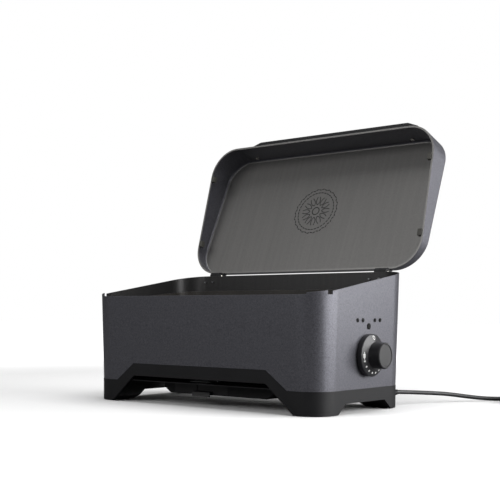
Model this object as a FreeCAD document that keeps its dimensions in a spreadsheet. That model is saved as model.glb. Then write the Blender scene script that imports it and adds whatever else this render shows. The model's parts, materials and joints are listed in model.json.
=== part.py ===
import FreeCAD, Part
import math
import os
import Sketcher

# Electric griddle with a hinged lid. Millimetres, +Z up, front towards -Y.
# The origin is on the table, under the middle of the body.

os.makedirs("parts", exist_ok=True)
doc = FreeCAD.newDocument("ElectricGriddle")
V = FreeCAD.Vector

# ---------------------------------------------------------------- driving sizes
SIZES = {
    # body
    "top_width": 520, "top_depth": 265, "front_height": 188.5, "rear_height": 233.2,
    "shell_lean": 0.038, "corner_radius": 43, "shell_wall": 2, "seam_height": 38.5,
    "flange_width": 12, "flange_thick": 1.5, "fit_gap": 0.3,
    # raised front corners of the rim and the notch behind each
    "ear_height": 2.4, "ear_half": 231, "ear_back": 105, "notch_length": 9, "notch_depth": 4,
    # moulded base
    "skirt_proud": 0.5, "base_lean": 0.02, "skirt_wall": 3.5,
    "apron_height": 69, "apron_half_low": 192, "apron_half_high": 150,
    "front_arch_height": 47.5, "front_arch_low": 204, "front_arch_high": 150,
    "side_arch_height": 17, "side_arch_low": 78, "side_arch_high": 57, "side_arch_centre": 3.5,
    "block_half_x": 196, "block_half_y": 66, "hollow_half_x": 208, "hollow_half_y": 84,
    "hollow_floor": 6, "boss_x": 243, "boss_y": 90, "boss_radius": 5.5,
    "pad_size": 32, "pad_round": 10, "pad_x": 226, "pad_y": 98, "pad_recess": 3, "pad_stand": 1,
    "boss_bore": 1.6, "boss_bore_deep": 22, "hollow_bevel": 0.672, "floor_thick": 1.2,
    # holes in the bottom plate: wiring, drain chute and a row of vents
    "wire_hole": 7, "chute_hole_half": 11, "vent_left": -180, "vent_pitch": 14,
    "vent_wide": 3.6, "vent_front": 70, "vent_long": 36,
    # screws: clearance hole, shank, and the larger ones that hold the base
    "screw_clear": 1.7, "screw_shank": 1.5, "base_screw_clear": 2.2, "base_screw_head": 3.6,
    # griddle plate
    "plate_bottom": 160, "plate_floor": 5, "plate_wall": 4, "plate_gap": 2.5,
    "plate_front_rim": 178, "plate_rear_rim": 204,
    "drain_x": -27, "drain_y": -100, "drain_long": 44, "drain_wide": 10, "spout_drop": 6,
    "bracket_y": 66, "bracket_length": 34, "bracket_depth": 14, "bracket_thick": 1.5,
    "bracket_drop": 22, "chute_wall": 1, "chute_foot_trim": -7, "chute_foot_side": 3,
    "chute_top_end": 4, "chute_top_side": 3.5, "chute_flange_end": 1, "chute_flange_side": 8,
    # element and reflector
    "pan_half_x": 234, "pan_half_y": 116, "pan_radius": 12, "pan_thick": 1, "pan_wall": 9,
    "ear_wide": 28, "leg_bend": 12,
    "element_radius": 3.25, "element_rise": 12, "leg_pitch": 48, "leg_reach": 200,
    "leg_return": 150, "terminal_drop": 26, "clip_x": 110, "clip_long": 12, "clip_wide": 10,
    # dial and lamps on the right side
    "dial_y": 6.7, "dial_height": 92, "skirt_radius": 34.5, "skirt_side": 8, "cone_rise": 4.5,
    "knob_radius": 21.3, "knob_length": 20, "shaft_radius": 3, "dial_clear": 0.6,
    "lamp_row": 148.8, "lamp_power": 138.8, "lamp_near": 17.8, "lamp_far": 33.4,
    "lamp_size": 6, "power_size": 9.6, "lens_step": 0.5, "lens_lip": 0.3, "lens_thick": 0.7,
    "lens_stem": 7, "led_size": 2.4, "board_drop": 9.3, "board_thick": 1.6,
    "skirt_shell": 2, "skirt_floor": 2.5, "hub_radius": 8, "knob_bore": 9, "knob_rim": 4,
    "dial_screw_z": 16, "dial_screw_radius": 1.3, "post_radius": 3.5, "neck_radius": 5.5,
    "mount_reach": 14, "mount_half_y": 15, "mount_half_z": 22, "mount_thick": 1.5,
    "case_deep": 26,
    # drip drawer under the body
    "sump_left": -112, "sump_right": 136, "sump_front": -86.7, "sump_back": 66,
    "sump_bottom": 18.3, "sump_wall": 1.6, "sump_bevel_x": 15, "sump_bevel_z": 10,
    "drawer_left": -87, "drawer_right": 36, "drawer_top": 36, "drawer_length": 140,
    "drawer_wall": 1.5, "drawer_front": 2.5, "recess_deep": 1, "grip_left": -38,
    "grip_right": 2,
    # lid
    "lid_width": 535, "lid_length": 277, "lid_rear_depth": 19, "lid_front_depth": 64,
    "lid_radius": 59, "lid_lean": 0.06, "lid_round": 6, "lid_wall": 1.6, "hem_width": 3.4,
    "hem_height": 3, "lid_gap": 2.8, "lid_rear": 139.8, "open_angle": 114.4,
    "hinge_y": 147.5, "hinge_height": 234, "hinge_x": 196, "knuckle_length": 12,
    "knuckle_radius": 7, "bush_radius": 4.4, "pin_radius": 2.3, "knuckle_gap": 0.5,
    "hinge_screw_gap": 10, "hinge_screw_drop": 12, "leaf_length": 28, "leaf_thick": 2,
    "leaf_top": 3, "leaf_foot": 21, "flap_low": 2.6, "flap_high": 9.4,
    "handle_half": 203, "handle_reach": 30.5, "handle_bar": 12, "handle_deep": 18,
    "handle_bevel": 26, "handle_foot": 18, "handle_screw_x": 190, "handle_screw_z": 47,
    "handle_screw_head": 3.3, "handle_screw_bore": 1.8,
    "bumper_front": 211, "bumper_rear": 66, "bumper_long": 12, "bumper_wide": 7.6,
    # small internal pieces
    "wire_radius": 1.5, "block_x": 196, "block_y": 92,
    # cord
    "cord_radius": 3.75, "coil_radius": 41, "coil_section": 15, "coil_lift": 1.3,
    "coil_bevel": 3.5, "coil_x": 387, "coil_y": 348, "tie_wide": 10, "tie_thick": 1.2,
    "blade_gap": 5.5, "blade_thick": 1.4, "blade_low": 8, "blade_high": 14.4, "blade_long": 16,
    "earth_radius": 2.35, "earth_long": 18,
    "relief_x": 222, "relief_z": 22, "relief_length": 28, "relief_root": 6.4, "relief_tip": 4.6,
    "relief_flange": 7.5, "flange_step": 2.5, "plug_turn": 20, "plug_length": 38,
    "tail_length": 22, "plug_height": 22, "tail_run": 25,
}
sheet = doc.addObject("Spreadsheet::Sheet", "Sizes")
for row, (name, value) in enumerate(SIZES.items(), 1):
    sheet.set("A%d" % row, name)
    sheet.set("B%d" % row, str(value))
    sheet.setAlias("B%d" % row, name)
doc.recompute()


def q(text):
    """Turn {name} into a reference to the sheet."""
    return str(text).replace("{", "Sizes.").replace("}", "")


def num(text):
    """The number that an expression over the sheet stands for."""
    value = sheet.evalExpression(q(text))
    return float(getattr(value, "Value", value))


# ---------------------------------------------------------------- modelling helpers
NODES = []


def keep(obj, label):
    obj.Label = label
    NODES.append(obj)
    return obj


def new_body(label):
    return keep(doc.addObject("PartDesign::Body", label), label)


def sketch_on(body, plane, height="0"):
    """Empty sketch on one of the body's origin planes, moved along its normal."""
    sketch = body.newObject("Sketcher::SketchObject", "Sketch")
    origin = [f for f in body.Origin.OriginFeatures if f.Role == plane + "_Plane"][0]
    sketch.AttachmentSupport = (origin, [""])
    sketch.MapMode = "FlatFace"
    sketch.setExpression("AttachmentOffset.Base.z", q(height))
    return sketch


def polygon(body, plane, corners, height="0"):
    """Closed outline whose corners are bound to the sheet."""
    sketch = sketch_on(body, plane, height)
    return add_polygon(sketch, corners)


def add_polygon(sketch, corners):
    first = sketch.GeometryCount
    count = len(corners)
    spots = [V(num(x), num(y), 0) for x, y in corners]
    for i in range(count):
        sketch.addGeometry(Part.LineSegment(spots[i], spots[(i + 1) % count]), False)
    for i in range(count):
        after = first + (i + 1) % count
        sketch.addConstraint(Sketcher.Constraint("Coincident", first + i, 2, after, 1))
    for i, (x, y) in enumerate(corners):
        for kind, text in (("DistanceX", x), ("DistanceY", y)):
            made = Sketcher.Constraint(kind, -1, 1, first + i, 1, num(text))
            sketch.setExpression("Constraints[%d]" % sketch.addConstraint(made), q(text))
    return sketch


def rectangle(body, plane, x0, x1, y0, y1, height="0"):
    return polygon(body, plane, [(x0, y0), (x1, y0), (x1, y1), (x0, y1)], height)


def add_rounded(sketch, x0, x1, y0, y1, radius):
    """Rectangle with four tangent corner arcs, bound by its centres and its radius."""
    first = sketch.GeometryCount
    left, right, low, high = num(x0), num(x1), num(y0), num(y1)
    r = num(radius)
    ends = [(left + r, low, right - r, low), (right, low + r, right, high - r),
            (right - r, high, left + r, high), (left, high - r, left, low + r)]
    centres = [(x1, "-", y0, "+"), (x1, "-", y1, "-"), (x0, "+", y1, "-"), (x0, "+", y0, "+")]
    for i, (ax, ay, bx, by) in enumerate(ends):
        cx, sx, cy, sy = centres[i]
        centre = V(num(cx) + float(sx + "1") * r, num(cy) + float(sy + "1") * r, 0)
        start = math.radians(90 * i - 90)
        circle = Part.Circle(centre, V(0, 0, 1), r)
        sketch.addGeometry(Part.LineSegment(V(ax, ay, 0), V(bx, by, 0)), False)
        sketch.addGeometry(Part.ArcOfCircle(circle, start, start + math.pi / 2), False)
    for i in range(4):
        line, arc, after = first + 2 * i, first + 2 * i + 1, first + (2 * i + 2) % 8
        sketch.addConstraint(Sketcher.Constraint("Tangent", line, 2, arc, 1))
        sketch.addConstraint(Sketcher.Constraint("Tangent", arc, 2, after, 1))
        cx, sx, cy, sy = centres[i]
        bound = [("DistanceX", "(%s)%s(%s)" % (cx, sx, radius)),
                 ("DistanceY", "(%s)%s(%s)" % (cy, sy, radius))]
        for kind, text in bound:
            made = Sketcher.Constraint(kind, -1, 1, arc, 3, num(text))
            sketch.setExpression("Constraints[%d]" % sketch.addConstraint(made), q(text))
        made = Sketcher.Constraint("Radius", arc, r)
        sketch.setExpression("Constraints[%d]" % sketch.addConstraint(made), q(radius))
    return sketch


def rounded(body, x0, x1, y0, y1, radius, height="0"):
    return add_rounded(sketch_on(body, "XY", height), x0, x1, y0, y1, radius)


def rounded_about(body, x, y, radius, height="0"):
    """Rounded rectangle about the origin, from its two half sizes."""
    return rounded(body, "-(%s)" % x, x, "-(%s)" % y, y, radius, height)


def add_circle(sketch, x, y, radius):
    index = sketch.addGeometry(Part.Circle(V(num(x), num(y), 0), V(0, 0, 1), num(radius)), False)
    for kind, text in (("DistanceX", x), ("DistanceY", y)):
        made = Sketcher.Constraint(kind, -1, 1, index, 3, num(text))
        sketch.setExpression("Constraints[%d]" % sketch.addConstraint(made), q(text))
    made = Sketcher.Constraint("Radius", index, num(radius))
    sketch.setExpression("Constraints[%d]" % sketch.addConstraint(made), q(radius))
    return sketch


def disc(body, plane, x, y, radius, height="0"):
    return add_circle(sketch_on(body, plane, height), x, y, radius)


def pad(body, sketch, length, both=False, back=False, lean=None):
    """Add to a height; lean is the outward slope of the sides per millimetre of height."""
    feature = body.newObject("PartDesign::Pad", "Pad")
    feature.Profile = sketch
    feature.setExpression("Length", q(length))
    if lean is not None:
        feature.setExpression("TaperAngle", q("atan(%s)" % lean))
    feature.Midplane = both
    feature.Reversed = back
    doc.recompute()
    return feature


def pocket(body, sketch, length=None, back=False, lean=None):
    """Cut to a depth, or right through both ways when no depth is given."""
    feature = body.newObject("PartDesign::Pocket", "Pocket")
    before = body.Shape.Volume
    feature.Profile = sketch
    if length is None:
        feature.Type = "ThroughAll"
        feature.Midplane = True
    else:
        feature.setExpression("Length", q(length))
        feature.Reversed = back
    if lean is not None:
        feature.setExpression("TaperAngle", q("atan(%s)" % lean))
    doc.recompute()
    if body.Shape.Volume > before - 1e-6:
        raise RuntimeError("%s of %s cut nothing" % (feature.Name, body.Label))
    return feature


def loft(body, low, high):
    feature = body.newObject("PartDesign::AdditiveLoft", "Loft")
    feature.Profile = low
    feature.Sections = [high]
    feature.Ruled = True
    doc.recompute()
    return feature


def revolve(body, sketch, axis):
    feature = body.newObject("PartDesign::Revolution", "Revolution")
    feature.Profile = sketch
    feature.ReferenceAxis = (sketch, [axis])
    feature.Angle = 360
    doc.recompute()
    return feature


def round_edges(body, radius, wanted, kind="Fillet"):
    """Fillet or chamfer the edges of the body's tip that pass the test."""
    base = body.Tip
    names = ["Edge%d" % i for i, edge in enumerate(base.Shape.Edges, 1) if wanted(edge)]
    if not names:
        raise RuntimeError("no edge to round in " + body.Label)
    feature = body.newObject("PartDesign::" + kind, kind)
    feature.Base = (base, names)
    feature.setExpression("Radius" if kind == "Fillet" else "Size", q(radius))
    doc.recompute()
    return feature


def upright(edge):
    """True for an edge that climbs in Z."""
    low, high = edge.Vertexes[0].Point, edge.Vertexes[-1].Point
    return abs(high.z - low.z) > 0.9 * edge.Length


def place(obj, x="0", y="0", z="0", axis=None, angle="0"):
    """Bind an object's Placement to the sheet."""
    if axis is not None:
        obj.Placement = FreeCAD.Placement(V(0, 0, 0), FreeCAD.Rotation(V(*axis), num(angle)))
        obj.setExpression("Placement.Rotation.Angle", q(angle))
    for letter, text in zip("xyz", (x, y, z)):
        obj.setExpression("Placement.Base." + letter, q(text))
    return obj


def block(name, x0, x1, y0, y1, z0, z1):
    """Part box between bound planes."""
    box = doc.addObject("Part::Box", name)
    for side, low, high in (("Length", x0, x1), ("Width", y0, y1), ("Height", z0, z1)):
        box.setExpression(side, q("(%s)-(%s)" % (high, low)))
    return place(box, x0, y0, z0)


def rod(name, x, y, z, radius, length, axis="Z"):
    """Part cylinder from a point along +X, +Y or +Z."""
    cylinder = doc.addObject("Part::Cylinder", name)
    cylinder.setExpression("Radius", q(radius))
    cylinder.setExpression("Height", q(length))
    turns = {"X": ((0, 1, 0), "90"), "Y": ((1, 0, 0), "-90"), "Z": (None, "0")}
    return place(cylinder, x, y, z, *turns[axis])


def joined(kind, label, parts):
    """Boolean or group of finished Part objects."""
    made = doc.addObject("Part::" + kind, label)
    if kind == "Cut":
        made.Base, made.Tool = parts
    elif kind == "Compound":
        made.Links = parts
    else:
        made.Shapes = parts
    return made


def group(label, parts):
    return keep(joined("Compound", label, parts), label)


def plain(label, shape):
    """A piece whose shape is worked out here from the sheet's numbers."""
    feature = doc.addObject("Part::Feature", label)
    feature.Shape = shape
    return keep(feature, label)


BEND_SHARE = 0.45  # share of the shorter neighbouring run that a bend takes up


def tube(points, radius):
    """Round bar along straight runs joined by tangent arcs."""
    spots = [V(*p) for p in points]
    edges, start = [], spots[0]
    for before, corner, after in zip(spots, spots[1:], spots[2:]):
        come, leave = (corner - before), (after - corner)
        reach = BEND_SHARE * min(come.Length, leave.Length)
        turn = come.getAngle(leave)
        come.normalize()
        leave.normalize()
        first, last = corner - come * reach, corner + leave * reach
        arc_radius = reach / math.tan(turn / 2)
        bisector = leave - come
        bisector.normalize()
        centre = corner + bisector * (arc_radius / math.cos(turn / 2))
        middle = centre - bisector * arc_radius
        edges += [Part.LineSegment(start, first).toShape(), Part.Arc(first, middle, last).toShape()]
        start = last
    edges.append(Part.LineSegment(start, spots[-1]).toShape())
    path = Part.Wire(edges)
    ring = Part.Wire([Part.makeCircle(radius, spots[0], spots[1] - spots[0])])
    return path.makePipeShell([ring], True, True)


# ---------------------------------------------------------------- shared expressions
def half_x(z):
    return "({top_width}/2-{shell_lean}*({front_height}-(%s)))" % z


def half_y(z):
    return "({top_depth}/2-{shell_lean}*({front_height}-(%s)))" % z


RIM_SLOPE = "(({rear_height}-{front_height})/{top_depth})"


def rim_z(y):
    """Height of the sloping rim plane at a given y."""
    return "({front_height}+%s*((%s)+{top_depth}/2))" % (RIM_SLOPE, y)


# y of the outer end of the strain relief's bore, and of the seat inside it
RELIEF_ROOT = "(%s+{skirt_proud}-0.1)" % half_y("{relief_z}")
RELIEF_SEAT = "(%s-4.5)" % RELIEF_ROOT
SIGNS = {"left": -1, "right": 1, "front": -1, "rear": 1}
CORNERS = [(fb + "_" + lr, SIGNS[lr], SIGNS[fb]) for fb in ("front", "rear")
           for lr in ("left", "right")]


# ---------------------------------------------------------------- base
def make_base_skirt():
    body = new_body("base_skirt")
    drop = "{skirt_proud}-{base_lean}*({seam_height}-{pad_stand})"
    low_x, low_y = half_x("{seam_height}") + "+" + drop, half_y("{seam_height}") + "+" + drop
    base = rounded_about(body, low_x, low_y, "{corner_radius}", "{pad_stand}")
    pad(body, base, "{apron_height}-{pad_stand}", lean="{base_lean}")
    # inside: everything but the wall, four corner blocks and a hollow beam along each side
    in_x = "(%s-{skirt_wall})" % half_x("{seam_height}")
    in_y = "(%s-{skirt_wall})" % half_y("{seam_height}")
    bx, by = "{block_half_x}", "{block_half_y}"
    pocket(body, rectangle(body, "XY", "-" + bx, bx, "-" + in_y, in_y))
    beam_x, beam_floor = "(%s+{skirt_wall})" % bx, "{side_arch_height}+{skirt_wall}"
    for side in (1, -1):
        beam = rectangle(body, "XY", "%d*%s" % (side, beam_x), "%d*%s" % (side, in_x), "-" + by, by,
                         beam_floor)
        pocket(body, beam, "{apron_height}", back=True)
    # top edge: level at the seam, with a raised apron at front and back
    lo, hi = "{apron_half_low}", "{apron_half_high}"
    wide, tall = "{top_width}", "{apron_height}+20"
    over = [("-" + wide, "{seam_height}"), ("-" + lo, "{seam_height}"), ("-" + hi, "{apron_height}"),
            ("-" + hi, tall), ("-" + wide, tall)]
    for side in (1, -1):
        pocket(body, polygon(body, "XZ", [("%d*(%s)" % (side, x), z) for x, z in over]))
    # arches
    lo, hi = "{front_arch_low}", "{front_arch_high}"
    arch = [("-%s-10" % lo, "-10"), ("%s+10" % lo, "-10"), (lo, "{pad_stand}"),
            (hi, "{front_arch_height}"), ("-" + hi, "{front_arch_height}"), ("-" + lo, "{pad_stand}")]
    pocket(body, polygon(body, "XZ", arch))
    mid, lo, hi = "{side_arch_centre}", "{side_arch_low}", "{side_arch_high}"
    arch = [("%s-%s-5" % (mid, lo), "-10"), ("%s+%s+5" % (mid, lo), "-10"),
            ("%s+%s" % (mid, lo), "{pad_stand}"), ("%s+%s" % (mid, hi), "{side_arch_height}"),
            ("%s-%s" % (mid, hi), "{side_arch_height}"), ("%s-%s" % (mid, lo), "{pad_stand}")]
    pocket(body, polygon(body, "YZ", arch))
    # the blocks are hollow from above, with a screw boss in each
    for _, sx, sy in CORNERS:
        # the bevel keeps a wall inside the skirt's rounded corner
        bevel = "({corner_radius}-{skirt_wall})*{hollow_bevel}"
        hx, ox = "%d*%s" % (sx, "{hollow_half_x}"), "%d*%s" % (sx, in_x)
        hy, oy = "%d*%s" % (sy, "{hollow_half_y}"), "%d*%s" % (sy, in_y)
        outline = [(hx, hy), (ox, hy), (ox, "%s+(%d)*%s" % (oy, -sy, bevel)),
                   ("%s+(%d)*%s" % (ox, -sx, bevel), oy), (hx, oy)]
        pocket(body, polygon(body, "XY", outline, "{seam_height}"), "{seam_height}-{hollow_floor}")
    for _, sx, sy in CORNERS:
        spot = ("%d*{boss_x}" % sx, "%d*{boss_y}" % sy)
        pad(body, disc(body, "XY", *spot, "{boss_radius}", "{hollow_floor}-1"),
            "{seam_height}-{hollow_floor}+1")
        pocket(body, disc(body, "XY", *spot, "{boss_bore}", "{seam_height}"), "{boss_bore_deep}")
    for _, sx, sy in CORNERS:
        mx, my, half = "%d*{pad_x}" % sx, "%d*{pad_y}" % sy, "({pad_size}/2+{fit_gap})"
        recess = rounded(body, mx + "-" + half, mx + "+" + half, my + "-" + half,
                         my + "+" + half, "{pad_round}+{fit_gap}")
        pocket(body, recess, "{pad_stand}+{pad_recess}", back=True)
    # bore for the strain relief, with a seat for its flange on the inside
    pocket(body, disc(body, "XZ", "{relief_x}", "{relief_z}", "{relief_root}+0.02",
                      "-({top_depth}/2+10)"), "24", back=True)
    pocket(body, disc(body, "XZ", "{relief_x}", "{relief_z}", "{relief_flange}+0.1",
                      "-(%s)" % RELIEF_SEAT), "5", back=True)
    return body


def make_foot_pads():
    for corner, sx, sy in CORNERS:
        body = new_body("foot_pad_" + corner)
        half = "{pad_size}/2"
        pad(body, rounded_about(body, half, half, "{pad_round}"), "{pad_stand}+{pad_recess}")
        place(body, "%d*{pad_x}" % sx, "%d*{pad_y}" % sy)


# ---------------------------------------------------------------- housing
def make_housing():
    body = new_body("housing_shell")
    x, y, wall = half_x("{seam_height}"), half_y("{seam_height}"), "{shell_wall}"
    rise = "{rear_height}+20-{seam_height}"
    pad(body, rounded_about(body, x, y, "{corner_radius}", "{seam_height}"), rise,
        lean="{shell_lean}")
    inside = rounded_about(body, "%s-%s" % (x, wall), "%s-%s" % (y, wall),
                           "{corner_radius}-" + wall, "{seam_height}")
    pocket(body, inside, rise + "+5", back=True, lean="{shell_lean}")
    # inward flange at the bottom, which the base screws hold
    in_x = half_x("{seam_height}") + "-{shell_wall}/2"
    in_y = half_y("{seam_height}") + "-{shell_wall}/2"
    bend, width = "{corner_radius}-{shell_wall}/2", "{flange_width}"
    flange = rounded_about(body, in_x, in_y, bend, "{seam_height}+{floor_thick}")
    near_x, near_y = "%s-%s" % (in_x, width), "%s-%s" % (in_y, width)
    add_rounded(flange, "-(%s)" % near_x, near_x, "-(%s)" % near_y, near_y, bend + "-" + width)
    pad(body, flange, "{flange_thick}")
    flange_top = "{seam_height}+{floor_thick}+{flange_thick}"
    clear = sketch_on(body, "XY", flange_top)
    for _, sx, sy in CORNERS:
        add_circle(clear, "%d*{boss_x}" % sx, "%d*{boss_y}" % sy, "{base_screw_clear}")
    reach = "{front_arch_low}"
    for sign in (-1, 1):
        y0, y1 = "%d*(%s-{shell_wall}/2)" % (sign, in_y), "%d*(%s-1)" % (sign, near_y)
        add_polygon(clear, [("-" + reach, y0), (reach, y0), (reach, y1), ("-" + reach, y1)])
    pocket(body, clear, "{flange_thick}")
    # rim: the sloping edge, lower than the front corners
    back, far = "-{ear_back}", "{top_depth}"
    over = [(back, rim_z(back)), (far, rim_z(far)), (far, rim_z(far) + "+60"),
            (back, rim_z(far) + "+60")]
    pocket(body, polygon(body, "YZ", over))
    notch = rectangle(body, "YZ", back, back + "+{notch_length}",
                      rim_z(back) + "-{notch_depth}", rim_z(back) + "+30")
    pocket(body, notch)
    ears = [("-" + far, rim_z("-" + far) + "+{ear_height}"), (back, rim_z(back) + "+{ear_height}"),
            (back, rim_z(far) + "+60"), ("-" + far, rim_z(far) + "+60")]
    pocket(body, polygon(body, "YZ", ears))
    between = polygon(body, "YZ", [("-" + far, rim_z("-" + far)), (back, rim_z(back)),
                                   (back, "{rear_height}"), ("-" + far, "{rear_height}")],
                      "{ear_half}")
    pocket(body, between, "2*{ear_half}")
    # openings for the apron, at front and back
    lo, hi, gap = "{apron_half_low}", "{apron_half_high}", "{fit_gap}"
    bay = [("-%s-%s" % (lo, gap), "0"), ("%s+%s" % (lo, gap), "0"),
           ("%s+%s" % (lo, gap), "{seam_height}"), ("%s+%s" % (hi, gap), "{apron_height}+" + gap),
           ("-%s-%s" % (hi, gap), "{apron_height}+" + gap), ("-%s-%s" % (lo, gap), "{seam_height}")]
    pocket(body, polygon(body, "XZ", bay))
    # right side: dial shaft, its two screws and the five lamps
    side = sketch_on(body, "YZ", "{top_width}/2+5")
    add_circle(side, "{dial_y}", "{dial_height}", "{shaft_radius}+1.2")
    for sign in "+-":
        add_circle(side, "{dial_y}", "{dial_height}%s{dial_screw_z}" % sign, "{screw_clear}")
    for y, z, radius in lamp_spots():
        add_circle(side, y, z, radius + "-{lens_step}")
    pocket(body, side, "20")
    # rear: hinge screws
    rear = sketch_on(body, "XZ", "-({top_depth}/2+5)")
    for x in hinge_screw_spots():
        add_circle(rear, x, "{rear_height}-{hinge_screw_drop}", "{screw_clear}")
    pocket(body, rear, "10", back=True)
    return body


def lamp_spots():
    """Centre and radius of the four status lamps and the power lamp below them."""
    row = [("{dial_y}%s{lamp_%s}" % (sign, reach), "{lamp_row}", "{lamp_size}/2")
           for sign, reach in (("-", "far"), ("-", "near"), ("+", "near"), ("+", "far"))]
    return row + [("{dial_y}", "{lamp_power}", "{power_size}/2")]


def hinge_screw_spots():
    return ["%d*{hinge_x}-{knuckle_length}/2%s{hinge_screw_gap}" % (side, shift)
            for side in (-1, 1) for shift in ("-", "+")]


CHUTE_FOOT = "({sump_front}+14)"
VENTS = 7


def make_bottom_plate():
    body = new_body("bottom_plate")
    x = half_x("{seam_height}") + "-{shell_wall}-{fit_gap}"
    y = half_y("{seam_height}") + "-{skirt_wall}-{fit_gap}"
    pad(body, rounded_about(body, x, y, "{corner_radius}-{shell_wall}", "{seam_height}"),
        "{floor_thick}")
    holes = sketch_on(body, "XY", "{seam_height}+{floor_thick}")
    for _, sx, sy in CORNERS:
        add_circle(holes, "%d*{boss_x}" % sx, "%d*{boss_y}" % sy, "{base_screw_clear}")
    add_circle(holes, "{relief_x}", "{hollow_half_y}+20", "{wire_hole}")
    half_long, half_wide = "({drain_long}/2-4)", "{chute_hole_half}"
    cx, cy = "{drain_x}", CHUTE_FOOT
    add_polygon(holes, [(cx + "-" + half_long, cy + "-" + half_wide),
                        (cx + "+" + half_long, cy + "-" + half_wide),
                        (cx + "+" + half_long, cy + "+" + half_wide),
                        (cx + "-" + half_long, cy + "+" + half_wide)])
    for i in range(VENTS):
        left, low = "{vent_left}+%d*{vent_pitch}" % i, "{vent_front}"
        right, high = left + "+{vent_wide}", low + "+{vent_long}"
        add_polygon(holes, [(left, low), (right, low), (right, high), (left, high)])
    pocket(body, holes, "{floor_thick}+1")
    return body


def make_base_screws():
    screws = []
    for corner, sx, sy in CORNERS:
        x, y = "%d*{boss_x}" % sx, "%d*{boss_y}" % sy
        top = "{seam_height}+{floor_thick}+{flange_thick}"
        head = rod("base_screw_head_" + corner, x, y, top, "{base_screw_head}", "2.2")
        shank = rod("base_screw_shank_" + corner, x, y, top + "-18", "{screw_shank}", "18.5")
        screws.append(joined("MultiFuse", "base_screw_" + corner, [head, shank]))
    group("base_screws", screws)


# ---------------------------------------------------------------- griddle plate and supports
def plate_rim_z(y):
    """Height of the plate's sloping rim at a given y."""
    rise = "({plate_rear_rim}-{plate_front_rim})"
    return "({plate_front_rim}+%s*((%s)+{top_depth}/2)/{top_depth})" % (rise, y)


def make_griddle_plate():
    body = new_body("griddle_plate")
    x = "(%s-{shell_wall}-{plate_gap})" % half_x("{plate_bottom}")
    y = "(%s-{shell_wall}-{plate_gap})" % half_y("{plate_bottom}")
    base = "{plate_bottom}+{fit_gap}"
    corner, wall = "{corner_radius}-{shell_wall}", "{plate_wall}"
    pad(body, rounded_about(body, x, y, corner, base), "{plate_rear_rim}-{plate_bottom}+5")
    floor = base + "+{plate_floor}"
    well = rounded_about(body, "%s-%s" % (x, wall), "%s-%s" % (y, wall), corner + "-" + wall, floor)
    pocket(body, well, "60", back=True)
    low = num(floor)
    round_edges(body, "5", lambda e: all(abs(v.Point.z - low) < 0.01 for v in e.Vertexes))
    far = "{top_depth}"
    over = [("-" + far, plate_rim_z("-" + far)), (far, plate_rim_z(far)),
            (far, plate_rim_z(far) + "+80"), ("-" + far, plate_rim_z(far) + "+80")]
    pocket(body, polygon(body, "YZ", over))
    # drain slot near the front edge, with a spout below it
    cx, cy = "{drain_x}", "{drain_y}"

    def slot(grow, height):
        half_long, half_wide = "({drain_long}/2+%s)" % grow, "({drain_wide}/2+%s)" % grow
        return rectangle(body, "XY", cx + "-" + half_long, cx + "+" + half_long,
                         cy + "-" + half_wide, cy + "+" + half_wide, height)
    pad(body, slot("2", base), "{spout_drop}", back=True)
    pocket(body, slot("0", floor), "{plate_floor}+{spout_drop}+1")
    return body


def make_plate_brackets():
    """Four C-shaped brackets: the plate sits on the upper ledge, the pan on the lower."""
    top = "{plate_bottom}"
    low = "{plate_bottom}-{bracket_drop}"
    thick, deep = "{bracket_thick}", "{bracket_depth}"

    def wall(z):
        return "(%s-{shell_wall}-0.02)" % half_x(z)
    for corner, sx, sy in CORNERS:
        body = new_body("plate_bracket_" + corner)
        corners = [(wall(low) + "-" + deep, low), (wall(low), low), (wall(top), top),
                   (wall(top) + "-" + deep, top), (wall(top) + "-" + deep, top + "-" + thick),
                   (wall(top) + "-" + thick, top + "-" + thick),
                   (wall(low) + "-" + thick, low + "+" + thick),
                   (wall(low) + "-" + deep, low + "+" + thick)]
        corners = [("%d*(%s)" % (sx, x), z) for x, z in corners]
        outline = polygon(body, "XZ", corners, "-%d*{bracket_y}" % sy)
        pad(body, outline, "{bracket_length}", both=True)


PAN_Z = "({plate_bottom}-{bracket_drop}+{bracket_thick})"
ELEMENT_Z = "(%s+{pan_thick}+{element_rise})" % PAN_Z


def make_reflector_pan():
    body = new_body("reflector_pan")
    x, y = "{pan_half_x}", "{pan_half_y}"
    pad(body, rounded_about(body, x, y, "{pan_radius}", PAN_Z), "{pan_thick}+{pan_wall}")
    inner = rounded_about(body, x + "-{pan_thick}", y + "-{pan_thick}",
                          "{pan_radius}-{pan_thick}", PAN_Z + "+{pan_thick}")
    pocket(body, inner, "{pan_wall}+5", back=True)
    for _, sx, sy in CORNERS:
        tab = rectangle(body, "XY", "%d*(%s-2)" % (sx, x),
                        "%d*(%s-{shell_wall}-{bracket_thick}-1)" % (sx, half_x(PAN_Z)),
                        "%d*{bracket_y}-{ear_wide}/2" % sy, "%d*{bracket_y}+{ear_wide}/2" % sy, PAN_Z)
        pad(body, tab, "{pan_thick}")
    # notch for the drain chute, and holes for the element's two ends
    notch = rectangle(body, "XY", "{drain_x}-{drain_long}/2-8", "{drain_x}+{drain_long}/2+8",
                      "-%s-5" % y, "{drain_y}+{drain_wide}/2+9", PAN_Z)
    pocket(body, notch, "{pan_wall}+5", back=True)
    ends = sketch_on(body, "XY", PAN_Z)
    for sign in ("-", ""):
        add_circle(ends, "{leg_reach}+{leg_bend}", sign + "1.5*{leg_pitch}", "{element_radius}+1")
    pocket(body, ends, "{pan_thick}+2", back=True)
    return body


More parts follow.
